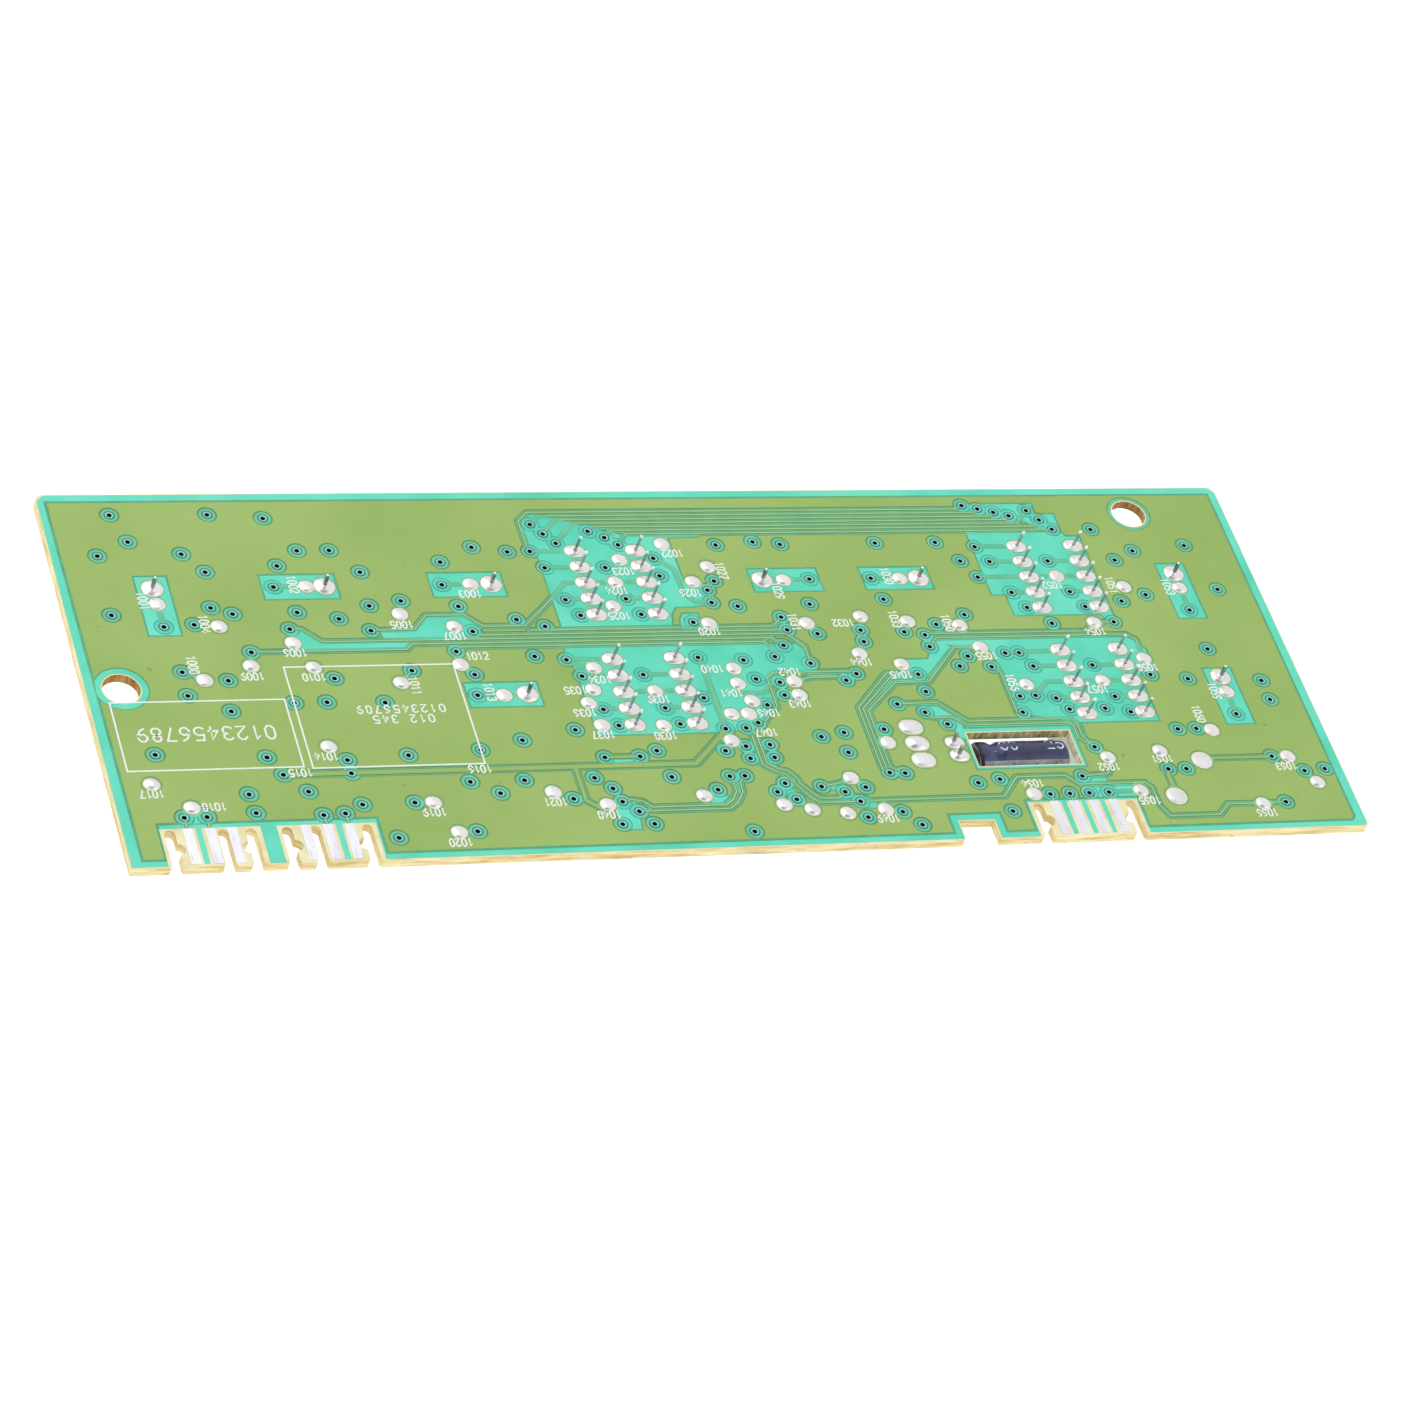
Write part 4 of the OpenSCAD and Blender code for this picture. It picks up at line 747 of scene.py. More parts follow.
        # which side of the border is inside follows from the border's own direction
        key = {(round(x, 6), round(y, 6)): k for k, (x, y) in enumerate(P2)}
        walls = {(key[(round(P[i][0], 6), round(P[i][1], 6))], key[(round(P[j][0], 6), round(P[j][1], 6))]) for i, j in edge}
        side = {}
        tris = T2.tolist()
        for k, (a, b, c) in enumerate(tris):
            side[(a, b)] = side[(b, c)] = side[(c, a)] = k
        todo, inner = [side[w] for w in sorted(walls) if w in side], set()
        while todo:
            k = todo.pop()
            if k in inner or d2[k] > 0.02:
                continue
            inner.add(k)
            a, b, c = tris[k]
            for u, v in ((a, b), (b, c), (c, a)):
                if (u, v) not in walls and (v, u) not in walls and (v, u) in side:
                    todo.append(side[(v, u)])
        keep2 = d2 < -0.02
        keep2[sorted(inner)] = True
        T2 = T2[keep2]
    else:
        T2 = T2[d2 < 0]
    n = len(V)
    V += [(x, y, z0) for x, y in P2]
    F = [tuple(q) for q in T] + [(n + q[0], n + q[2], n + q[1]) for q in T2]
    mi = list(idx) + [1] * len(T2)
    if same:
        for i, j in edge:
            bi, bj = key[(round(P[i][0], 6), round(P[i][1], 6))], key[(round(P[j][0], 6), round(P[j][1], 6))]
            F.append((j, i, n + bi, n + bj))
            mi.append(9 if min(math.hypot(P[i][0] - x, P[i][1] - y) for x, y in vias) < 0.4 else 10)
    if up < 0:
        F = [f[::-1] for f in F]
    print(name, "vertices", len(V), "faces", len(F), "closed", same)
    ob = new_mesh(name, V, F, [M_POUR, M_BARE, M_EDGE_SHADE, M_TRACK, M_VIA, M_VIA_LIP_HIGHLIGHT, M_GHOST, M_VIA_GAP, M_GAP_SHADE, M_VIA_STEP_SHADE, M_PAD_RING, M_TRACK_BARE, M_HALO, M_RIM_SHADE, M_GHOST_RING], mi)
    done(ob, "laminate")


DISPLAY_PADS = [(x + a, y + b) for x, y in DISPLAYS for a, b in LEADS]
pads_s = [(x - 0.3, y, x + 0.3, y, 1.0) for x, y in DISPLAY_PADS] + [(x - 0.275, y, x + 0.275, y, 0.975) for x, y in CAP_LEADS] + \
    [(x - 0.35, y, x + 0.35, y, 1.2) for x, y in BLANK_OVAL]
pads_c = [(x, y, 1.0) for x, y in TESTS] + [(p[0], p[1], 1.325) for p, _, _, _ in KEYS] + [(x, y, 1.35) for x, y in BLANK_ROUND]
win = [(WINDOW[0], WINDOW[1]), (WINDOW[2], WINDOW[1]), (WINDOW[2], WINDOW[3]), (WINDOW[0], WINDOW[3])]
mask_sheet("solder_side_mask", ZT, 1, TRACKS, [(x, y, r + 0.07) for x, y, r in pads_c], [(a, b, c, d, h + 0.07) for a, b, c, d, h in pads_s],
    FIELDS + [[(102.8, 10.5), (117.0, 10.5), (117.0, 16.95), (102.8, 16.95)]], POUR, MASK, [(x, y, c) for x, y, r, c in MOUNTS],
    [(x, y, r + 0.03) for x, y, r in pads_c] + [(x, y, r + 0.17) for x, y, r, c in MOUNTS],
    [(a, b, c, d, h + 0.03) for a, b, c, d, h in pads_s], [offset_poly(win, 0.15)], VIAS)


# ------------------------------------------------------------------ solder
class Bag:
    """collects closed shells for one piece"""

    def __init__(self):
        self.v, self.f, self.m, self.s = [], [], [], []

    def add(self, verts, faces, mat=0, smooth=True):
        b = len(self.v)
        self.v += [tuple(p) for p in verts]
        self.f += [tuple(i + b for i in f) for f in faces]
        self.m += [mat if isinstance(mat, int) else mat[k] for k in range(len(faces))]
        self.s += [smooth if isinstance(smooth, bool) else smooth[k] for k in range(len(faces))]

    def make(self, name, mats, slot, *nodes):
        ob = new_mesh(name, self.v, self.f, mats, self.m)
        ob.data.polygons.foreach_set("use_smooth", self.s)
        return done(ob, slot, *nodes)


def rings_shell(rings, cap_first=True, cap_last=True):
    """faces of stacked rings with the same number of points, first ring lowest, turning anticlockwise from above"""
    n = len(rings[0])
    v = [p for r in rings for p in r]
    f = []
    for j in range(len(rings) - 1):
        for k in range(n):
            a, b = j * n + k, j * n + (k + 1) % n
            f.append((a, b, b + n, a + n))
    if cap_first:
        f.append(tuple(range(n))[::-1])
    if cap_last:
        f.append(tuple(range((len(rings) - 1) * n, len(rings) * n)))
    return v, f


def mound(bag, x, y, hl, r, pin_r, h_mid, h_top, plug=0.0, dent=None, n=36, steps=12, power=2.3, tilt=(0, 0), off=0.0, rim=0.12):
    """solder on a round or oval pad; round a pin if pin_r is above 0"""
    ph = [rnd.uniform(0, 6.28) for _ in range(4)]
    am = [rnd.uniform(0.004, 0.02) for _ in range(4)]
    wob = lambda t: 1 + am[0] * math.sin(2 * t + ph[0]) + am[1] * math.sin(3 * t + ph[1]) + 0.5 * am[2] * math.sin(5 * t + ph[2])
    gx, gy = tilt
    rings = []
    inner = pin_r if pin_r else 0.03
    if plug:
        rings.append([(x + (inner + 0.001) * math.cos(t), y + (inner + 0.001) * math.sin(t), ZT - plug) for t in [2 * math.pi * k / n for k in range(n)]])
        rings.append([(x + 0.44 * math.cos(t), y + 0.44 * math.sin(t), ZT - plug) for t in [2 * math.pi * k / n for k in range(n)]])
        rings.append([(x + 0.44 * math.cos(t), y + 0.44 * math.sin(t), ZT + 0.004) for t in [2 * math.pi * k / n for k in range(n)]])
    for j in range(steps + 1):
        s = j / steps
        s = s ** 1.25
        rr = inner + (r - inner) * (1 - s)
        hh = hl * (1 - s) ** 1.1
        ring = []
        for k in range(n):
            t = 2 * math.pi * k / n
            w = wob(t) if j else min(wob(t), 1.0)
            px = rr * w * math.cos(t) + hh * max(-1.0, min(1.0, 1.7 * math.cos(t))) + off * (1 - s)
            py = rr * w * math.sin(t)
            z = h_mid * (1 - (1 - s) ** power)
            if pin_r:
                z += (h_top - h_mid) * math.exp(-(rr - inner) / (0.09 + 0.03 * math.sin(t + ph[3])))
                z = min(z, h_top)
            if dent:
                q = math.hypot(px - dent[0], py - dent[1]) / dent[2]
                z -= dent[3] * math.exp(-q * q * 2.2) * min(1.0, s * 6)
            z += (gx * px + gy * py) * s
            ring.append((x + px, y + py, ZT + 0.012 + max(z, 0.004 * (j > 0))))
        rings.append(ring)
    if plug:
        v, f = rings_shell(rings, False, False)
        m = len(rings)
        for k in range(n):   # closed along the pin
            a, b = (m - 1) * n + k, (m - 1) * n + (k + 1) % n
            f.append((a, b, (k + 1) % n, k))
        if not pin_r:
            f = f[:-n] + [tuple(range((m - 1) * n, m * n)), tuple(range(n))[::-1]]
    else:
        v, f = rings_shell(rings)
    first = 3 if plug else 0       # ring of the pad's rim
    # rim rings take the cream material: flux residue and painted reflection
    mats = [0] * len(f)
    for j in range(1, steps):
        if (j / steps) ** 1.25 < rim:
            for k in range(n):
                mats[(first + j - 1) * n + k] = 1
    for k in range(n):
        mats[first * n + k] = 1
    bag.add(v, f, mats)


FX, FY = -0.39, -0.92     # towards the front left
bag = Bag()
for i, (x, y) in enumerate(DISPLAY_PADS):
    mound(bag, x, y, 0.3, 1.0, 0.22, rnd.uniform(0.16, 0.22), rnd.uniform(0.26, 0.32), 1.15, tilt=(rnd.uniform(-0.04, 0.04), rnd.uniform(-0.04, 0.04)), power=2.6)
bag.make("display_joints", [M_SOLDER, M_FLUX_AND_REFLECTION], "solder", "display_solder")
bag = Bag()
for (p, _, _, _) in KEYS:
    mound(bag, p[0], p[1], 0.0, 1.325, 0.25, rnd.uniform(0.27, 0.34), rnd.uniform(0.4, 0.48), 1.15, tilt=(rnd.uniform(-0.03, 0.03), rnd.uniform(-0.03, 0.03)), power=2.5, n=44, steps=16, rim=0.17)
bag.make("spring_joints", [M_SOLDER, M_FLUX_AND_REFLECTION], "solder", "spring_solder")
bag = Bag()
for x, y in CAP_LEADS:
    mound(bag, x - 0.2, y, 0.275, 0.975, 0.25, 0.26, 0.42, 1.15, power=2.6, off=0.2)
bag.make("capacitor_joints", [M_SOLDER, M_FLUX_AND_REFLECTION], "solder", "capacitor_solder")
bag = Bag()
for i, (x, y) in enumerate(TESTS):
    flat = i % 7 == 1
    mound(bag, x, y, 0.0, 1.0, 0.0, 0.15 if flat else rnd.uniform(0.18, 0.32), 0, n=32, steps=14, power=2.0 if flat else rnd.uniform(2.4, 3.8), tilt=(rnd.uniform(-0.03, 0.03), rnd.uniform(-0.03, 0.03)), rim=0.15)
bag.make("test_point_domes", [M_SOLDER, M_FLUX_AND_REFLECTION], "solder", "test_point_solder")
bag = Bag()
for i, (x, y) in enumerate(BLANK_OVAL):
    mound(bag, x, y, 0.35, 1.2, 0.0, 0.42 if i == 1 else 0.24, 0, 1.15, n=40, steps=14, power=3.4 if i != 1 else 2.4, rim=0.16)
for i, (x, y) in enumerate(BLANK_ROUND):
    mound(bag, x, y, 0.0, 1.35, 0.0, 0.13 + 0.06 * i, 0, 1.15, n=40, steps=14, power=2.0, rim=0.2)
bag.make("blank_pad_domes", [M_SOLDER, M_FLUX_AND_REFLECTION], "solder", "blank_pad_solder")

# ------------------------------------------------------------------ pins of displays
def pin(bag, x, y, r, z0, z1, lean, n=20):
    """round lead with a rounded rim and a nipped, slightly slanted end"""
    lx, ly = lean
    zs = [(z0, r * 0.8), (z0 + 0.06, r), (ZT - 1.0, r), (ZT + 0.6, r), (z1 - 0.46, r * 0.98), (z1 - 0.32, r * 1.12), (z1 - 0.13, r * 1.16), (z1 - 0.04, r * 0.86), (z1, r * 0.5)]
    ang = rnd.uniform(0, 6.28)
    rings = []
    for z, q in zs:
        up = max(0.0, z - ZT)
        cx, cy = x + lx * up, y + ly * up
        rings.append([(cx + q * math.cos(t), cy + q * math.sin(t), min(z + (0.06 * math.cos(t - ang) - 0.06) * (z > z1 - 0.4), z1)) for t in [2 * math.pi * k / n for k in range(n)]])
    v, f = rings_shell(rings)
    # top band and end take the near-white material: cut end, and a painted highlight on the band
    mats = [0] * len(f)
    for k in range(len(f)):
        if (k >= 5 * n and k < 8 * n) or k == len(f) - 1:
            mats[k] = 1
    sm = [k < 8 * n for k in range(len(f))]
    bag.add(v, f, mats, sm)


for i, (dx, dy) in enumerate(DISPLAYS):
    bag = Bag()
    lo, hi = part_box("display_%d_leads" % (i + 1))
    for a, b in LEADS:
        pin(bag, dx + a, dy + b, 0.176, lo.z / MM, PIN_TOP - rnd.uniform(0, 0.04), (rnd.uniform(0.045, 0.095), rnd.uniform(0.0, 0.03)))
    bag.make("display_%d_pins" % (i + 1), [M_PIN, M_PIN_TIP_HIGHLIGHT], "lead_wire", "display_%d_leads" % (i + 1))

# ------------------------------------------------------------------ touch springs
def sweep(bag, path, r, n=10, mat=0):
    path = [Vector(p) for p in path]
    m = len(path)
    rings = []
    for i in range(m):
        t = (path[min(i + 1, m - 1)] - path[max(i - 1, 0)]).normalized()
        s = Vector((0, 0, 1)).cross(t)
        s = s.normalized() if s.length > 1e-6 else Vector((1, 0, 0))
        b = t.cross(s)
        q = r * (0.75 if i in (0, m - 1) else 1.0)
        rings.append([tuple(path[i] + q * (math.cos(2 * math.pi * k / n) * s + math.sin(2 * math.pi * k / n) * b)) for k in range(n)])
    v, f = rings_shell(rings)
    bag.add(v, f, mat, [k < (m - 1) * n for k in range(len(f))])


SPRING_H = ZB
COIL_R, WIRE_R, TURNS, FLAT = 4.2, 0.24, 6, 0.6
COIL_TOP = SPRING_H - 0.35      # keeps the coil off the mask
for i, (p, _, _, _) in enumerate(KEYS):
    bag = Bag()
    steps = 30
    path = []
    for k in range(TURNS * steps + 1):
        t = k / steps
        a = max(0.0, min(1.0, (t - FLAT) / (TURNS - 2 * FLAT)))
        path.append((p[0] + COIL_R * math.cos(2 * math.pi * t), p[1] + COIL_R * math.sin(2 * math.pi * t), 0.25 + a * (COIL_TOP - 0.25)))
    for a, b in [(0.985, 0.07), (0.95, 0.13), (0.9, 0.17), (0.82, 0.185), (0.7, 0.17), (0.5, 0.12), (0.3, 0.07), (0.15, 0.03), (0.03, 0.0)]:
        path.append((p[0] + COIL_R * a, p[1] + COIL_R * b, COIL_TOP))
    sweep(bag, path, WIRE_R, 12)
    r = 0.245
    rings = []
    n = 20
    lean = (rnd.uniform(-0.02, 0.02), rnd.uniform(-0.02, 0.02))
    for z, q in [(COIL_TOP - 0.24, r * 0.7), (COIL_TOP - 0.16, r), (ZT + 0.5, r), (SPRING_TOP - 0.7, r), (SPRING_TOP - 0.3, r), (SPRING_TOP - 0.17, r * 0.97), (SPRING_TOP - 0.05, r * 0.72), (SPRING_TOP, r * 0.45)]:
        up = max(0.0, z - ZT)
        rings.append([(p[0] + lean[0] * up + q * math.cos(2 * math.pi * k / n), p[1] + lean[1] * up + q * math.sin(2 * math.pi * k / n), z) for k in range(n)])
    v, f = rings_shell(rings)
    # top band and end of the spring pin: cut end, and a painted highlight on the band
    bag.add(v, f, [2 if (k // n >= 6 or k == len(f) - 1) else (1 if k // n >= 2 else 0) for k in range(len(f))], [k < 7 * n for k in range(len(f))])
    bag.make("spring_%d" % (i + 1), [M_SPRING, M_SPRING_PIN, M_PIN_TIP_HIGHLIGHT], "spring_wire", "touch_spring_%d" % (i + 1))

# ------------------------------------------------------------------ white marking
DIGITS = {
    "0": [([(0, .22), (0, .78), (.18, 1), (.42, 1), (.6, .78), (.6, .22), (.42, 0), (.18, 0)], True)],
    "1": [([(.1, .78), (.34, 1), (.34, 0)], False)],
    "2": [([(0, .8), (.18, 1), (.42, 1), (.6, .8), (.58, .58), (0, 0), (.62, 0)], False)],
    "3": [([(0, .88), (.2, 1), (.42, 1), (.6, .8), (.55, .6), (.3, .52), (.56, .44), (.6, .2), (.42, 0), (.2, 0), (0, .12)], False)],
    "4": [([(.44, 0), (.44, 1), (0, .3), (.64, .3)], False)],
    "5": [([(.58, 1), (.06, 1), (.02, .56), (.36, .62), (.6, .44), (.6, .18), (.4, 0), (.16, 0), (0, .12)], False)],
    "6": [([(.5, 1), (.2, .84), (.02, .48), (0, .22), (.18, 0), (.42, 0), (.6, .2), (.6, .38), (.42, .56), (.2, .54), (.04, .4)], False)],
    "7": [([(0, 1), (.6, 1), (.2, 0)], False)],
    "8": [([(.3, .53), (.06, .64), (.04, .86), (.2, 1), (.4, 1), (.56, .86), (.54, .64), (.3, .53), (.02, .4), (0, .16), (.18, 0), (.42, 0), (.6, .16), (.58, .4)], True)],
    "9": [([(.1, 0), (.4, .16), (.58, .52), (.6, .78), (.42, 1), (.18, 1), (0, .8), (0, .62), (.18, .44), (.4, .46), (.56, .6)], False)],
}


def ribbon(bag, line, closed, width, z0, z1, place=None):
    """flat stroke along a line, with mitred corners; place maps (x, y, z) to the frame"""
    pts = [Vector(p) for p in line]
    n = len(pts)
    L, R_ = [], []
    for i in range(n):
        a = pts[i - 1] if (closed or i) else None
        c = pts[(i + 1) % n] if (closed or i < n - 1) else None
        u = (pts[i] - a).normalized() if a is not None and (pts[i] - a).length > 1e-9 else None
        v = (c - pts[i]).normalized() if c is not None and (c - pts[i]).length > 1e-9 else None
        u = u or v
        v = v or u
        n1, n2 = Vector((-u.y, u.x)), Vector((-v.y, v.x))
        m = n1 + n2
        k = max(m.length_squared / 2, 0.5)
        m = m * (width / 2 / k)
        e = Vector((0, 0))
        if a is None:
            e = -u * width * 0.35
        elif c is None:
            e = u * width * 0.35
        L.append(pts[i] + m + e)
        R_.append(pts[i] - m + e)
    quad = [(L[i].x, L[i].y, z) for z in (z0, z1) for i in range(n)] + [(R_[i].x, R_[i].y, z) for z in (z0, z1) for i in range(n)]
    if place:
        quad = [place(*q) for q in quad]
    f = []
    for i in range(n if closed else n - 1):
        j = (i + 1) % n
        l0, l1, r0, r1 = (i, j), (n + i, n + j), (2 * n + i, 2 * n + j), (3 * n + i, 3 * n + j)
        f += [(l1[0], r1[0], r1[1], l1[1]), (l0[0], l0[1], r0[1], r0[0]), (l0[0], l1[0], l1[1], l0[1]), (r0[0], r0[1], r1[1], r1[0])]
    if not closed:
        f += [(0, 2 * n, 3 * n, n), (n - 1, 2 * n - 1, 4 * n - 1, 3 * n - 1)]
    bag.add(quad, f, 0, False)


def number(bag, text, cx, cy, height, pitch, turn, width, z0, z1, place=None, wide=1.0):
    """plain number, centred; turn in quarter turns"""
    total = pitch * (len(text) - 1) + 0.6 * height * wide
    c, s = [(1, 0), (0, 1), (-1, 0), (0, -1)][turn % 4]
    for i, ch in enumerate(text):
        if ch not in DIGITS:
            continue
        for line, closed in DIGITS[ch]:
            pts = []
            for x, y in line:
                u, v = x * height * wide + i * pitch - total / 2, y * height - height / 2
                pts.append((cx + u * c - v * s, cy + u * s + v * c))
            ribbon(bag, pts, closed, width, z0, z1, place)


LABELS = [(9.35, 39.1, 1), (27.35, 41.3, 1), (48.2, 39.45, 0), (15.7, 35.4, 1), (38.8, 34.8, 0), (25.25, 30.75, 0), (44.75, 32.9, 0),
    (13.0, 29.2, 1), (19.5, 27.3, 0), (26.6, 27.0, 0), (38.1, 25.4, 1), (46.6, 29.75, 2), (46.7, 24.2, 1), (25.3, 15.15, 0), (21.8, 12.85, 0),
    (42.6, 12.7, 0), (4.45, 10.4, 0), (11.0, 8.3, 0), (35.75, 6.55, 0), (37.7, 2.1, 0), (50.2, 7.5, 0), (74.9, 45.5, 0), (68.0, 42.7, 0),
    (66.3, 39.6, 0), (65.5, 35.6, 0), (75.4, 39.1, 0), (80.3, 42.6, 1), (76.0, 32.9, 0), (86.5, 39.3, 1), (101.2, 41.4, 1), (87.05, 34.2, 1),
    (93.2, 33.9, 0), (100.0, 34.4, 1), (60.4, 25.7, 0), (57.0, 24.15, 0), (57.25, 20.7, 0), (58.55, 17.3, 0), (66.0, 16.9, 0), (66.7, 22.5, 0),
    (74.6, 27.0, 0), (75.9, 23.2, 0), (84.1, 26.3, 0), (83.9, 21.3, 0), (93.6, 27.6, 0), (98.0, 25.5, 0), (79.6, 20.0, 0), (78.4, 17.0, 0),
    (56.0, 5.4, 0), (89.4, 3.5, 0), (106.6, 33.6, 1), (130.3, 39.4, 1), (122.4, 39.5, 0), (137.8, 39.0, 1), (125.5, 31.8, 0), (109.9, 28.2, 0),
    (111.8, 23.9, 1), (122.5, 22.5, 0), (130.3, 25.8, 0), (137.8, 21.8, 1), (134.3, 18.2, 1), (127.0, 11.3, 0), (119.7, 10.3, 0), (142.8, 9.6, 0),
    (109.1, 8.1, 0), (123.1, 4.95, 0), (137.6, 2.5, 0)]
bag = Bag()
INK0, INK1 = ZT + 0.03, ZT + 0.075
for k, (x, y, t) in enumerate(LABELS):
    number(bag, str(1001 + k), x, y, 1.05, 0.7, {0: 2, 1: 3, 2: 0}[t], 0.18, INK0, INK1, wide=0.74)
for x0, y0, x1, y1 in [(2.4, 13.75, 22.4, 23.8), (23.4, 13.5, 43.4, 28.6)]:
    ribbon(bag, [(x0, y0), (x1, y0), (x1, y1), (x0, y1)], True, 0.2, INK0, INK1 + 0.002)
number(bag, "0123456789", 12.4, 18.95, 1.9, 1.62, 2, 0.22, INK0, INK1, wide=0.9)
number(bag, "0123456789", 35.6, 21.95, 1.1, 1.08, 2, 0.18, INK0, INK1, wide=0.9)
number(bag, "012 345", 35.6, 20.45, 1.1, 1.08, 2, 0.18, INK0, INK1, wide=0.9)
bag.make("white_marking", [M_INK], "laminate")

# ------------------------------------------------------------------ capacitor
clo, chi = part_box("capacitor_sleeve")
CX0, CX1 = clo.x / MM - OX, chi.x / MM - OX
CY = (clo.y + chi.y) / 2 / MM - OY
CZ = (clo.z + chi.z) / 2 / MM
CR = (chi.z - clo.z) / 2 / MM - 0.003


def capacitor():
    L, g = CX1 - CX0, 2.1       # length, middle of the crimp
    xs = [(0.0, CR - 0.62), (0.0, CR - 0.3), (0.05, CR - 0.14), (0.16, CR - 0.03), (0.35, CR), (0.8, CR)]
    xs += [(g + q, CR - e) for q, e in ((-0.95, 0), (-0.75, 0.04), (-0.55, 0.13), (-0.35, 0.21), (-0.15, 0.245), (0, 0.25), (0.15, 0.245), (0.35, 0.21), (0.55, 0.13), (0.75, 0.04), (0.95, 0))]
    x = 3.4
    while x < L - 0.8:
        xs.append((x, CR))
        x += 0.4
    xs += [(L - 0.6, CR), (L - 0.36, CR - 0.02), (L - 0.2, CR - 0.09), (L - 0.08, CR - 0.22), (L - 0.015, CR - 0.4), (L, CR - 0.62), (L, CR - 1.1)]
    inner = [(L - 0.07, CR - 1.1), (L - 0.07, CR - 0.62), (L - 0.5, CR - 0.087), (g + 0.9, CR - 0.087), (g + 0.3, CR - 0.337), (g - 0.3, CR - 0.337), (g - 0.9, CR - 0.087), (0.2, CR - 0.13), (0.06, CR - 0.5), (0.06, CR - 0.62)]
    n = 120
    prof = xs + inner
    V, F, Mi = [], [], []
    for j, (px, pr) in enumerate(prof):
        for k in range(n):
            t = 2 * math.pi * k / n
            w = 0.0
            if j < len(xs):
                w = -0.012 * (1 + math.sin(3 * t + px * 1.3)) - 0.007 * (1 + math.sin(7 * t - px * 2.1)) * (px < 3.2)
                if px < 0.4 or px > L - 0.4:
                    w -= 0.02 * (1 + math.sin(11 * t + 2 * px))
            V.append((CX0 + px, CY - (pr + w) * math.sin(t), CZ + (pr + w) * math.cos(t)))
    m = len(prof)
    for j in range(m):
        for k in range(n):
            a, b = j * n + k, j * n + (k + 1) % n
            c, d = ((j + 1) % m) * n + k, ((j + 1) % m) * n + (k + 1) % n
            F.append((a, b, d, c))
            deg = 360.0 * (k + 0.5) / n
            px = prof[j][0]
            if j >= len(xs) - 1 or px < 0.3:
                Mi.append(1)
            elif 37 < deg < 60 and px > 0.3:
                Mi.append(2)
            else:
                Mi.append(0)
    ob = new_mesh("capacitor_shrink_sleeve", V, F, [M_SLEEVE, M_SLEEVE_DARK, M_STRIPE], Mi, True)
    done(ob, "capacitor_sleeve", "capacitor_sleeve")

    bag = Bag()
    R_at = lambda x: float(np.interp(x - CX0, [q for q, _ in xs[5:-7]], [q for _, q in xs[5:-7]]))
    # s runs round the sleeve from the top towards the front
    flip = lambda x, s, h: (x, CY - (R_at(x) + h) * math.sin(-s / CR), CZ + (R_at(x) + h) * math.cos(s / CR))
    number(bag, "100", 107.5, 0.62, 1.6, 1.25, 0, 0.19, -0.05, 0.006, flip, wide=0.8)
    number(bag, "25", 114.05, 0.62, 1.6, 1.25, 0, 0.19, -0.05, 0.006, flip, wide=0.8)
    ob = bag.make("capacitor_marking", [M_PRINT], "capacitor_sleeve")


capacitor()

# ------------------------------------------------------------------ component side
RESISTORS = [(13 + 3.4 * i, 30.6, 0) for i in range(6)] + [(78 + 3.2 * i, 46.5, 0) for i in range(5)] + [(80, 24 + 1.9 * i, 0) for i in range(6)] + \
    [(111.5, 22 + 2 * i, 0) for i in range(6)] + [(111.5, 38 + 2 * i, 0) for i in range(5)] + [(52.5 + 2.4 * i, 14.4, 1) for i in range(4)]
CERAMICS = [(55.8, 5, 1), (75.6, 8.6, 1), (66, 16.2, 0), (40, 17.5, 1), (23, 22.5, 1), (99.5, 30.5, 1), (86.5, 13, 1), (48, 11, 0),
    (36.5, 8.5, 1), (85.5, 28, 1), (128, 10.5, 0), (132.5, 7, 0), (112, 20, 0), (134, 33, 1)]
# foot row: middle, quarter turn, leads, pitch, lead width, from middle to foot end
ROWS = [(66, 8.6, t, 11, 0.8, 0.35, 6.0) for t in range(4)] + [(32, 22.5, t, 14, 0.65, 0.3, 3.85) for t in (0, 2)] + \
    [(93, y, t, 8, 1.27, 0.4, 3.0) for y in (27.6, 10.4) for t in (0, 2)] + [(42.5, 6.4, 2, 3, 2.3, 0.7, 3.35), (42.5, 6.4, 0, 1, 1.0, 3.0, 3.35)]
HOUSES = []
for k in range(4):
    lo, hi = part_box("display_%d_housing" % (k + 1))
    HOUSES.append((lo.x / MM - OX, lo.y / MM - OY, hi.x / MM - OX, hi.y / MM - OY))


def turned(cx, cy, q, u, v):
    c, s = [(1, 0), (0, 1), (-1, 0), (0, -1)][q % 4]
    return cx + u * c - v * s, cy + u * s + v * c


def rect(cx, cy, q, u0, v0, u1, v1):
    p = [turned(cx, cy, q, u, v) for u, v in ((u0, v0), (u1, v0), (u1, v1), (u0, v1))]
    return p


def toe(bag, cx, cy, q, u, v, w, l, h):
    """solder running out from an end face at u, w wide and l long"""
    prof = [(0.0, h), (0.3 * l, h * 0.45), (0.65 * l, h * 0.16), (l, 0.02)]
    n = len(prof)
    vts = []
    for s in (-1, 1):
        for k, (a, z) in enumerate(prof):
            ww = w / 2 * (1.0 if k < n - 1 else 0.9)
            vts.append(turned(cx, cy, q, u + 0.004 + a, v + s * ww) + (ZB - z,))
        for k, (a, z) in enumerate(prof):
            ww = w / 2 * (1.0 if k < n - 1 else 0.9)
            vts.append(turned(cx, cy, q, u + 0.004 + a, v + s * ww) + (ZB - 0.001,))
    m = 2 * n
    f = []
    for k in range(n - 1):
        f += [(k, k + 1, m + k + 1, m + k), (n + k, m + n + k, m + n + k + 1, n + k + 1),
              (k, n + k, n + k + 1, k + 1), (m + k, m + k + 1, m + n + k + 1, m + n + k)]
    f += [(0, m, m + n, n), (n - 1, 2 * n - 1, m + 2 * n - 1, m + n - 1)]
    bag.add(vts, f, 0, False)


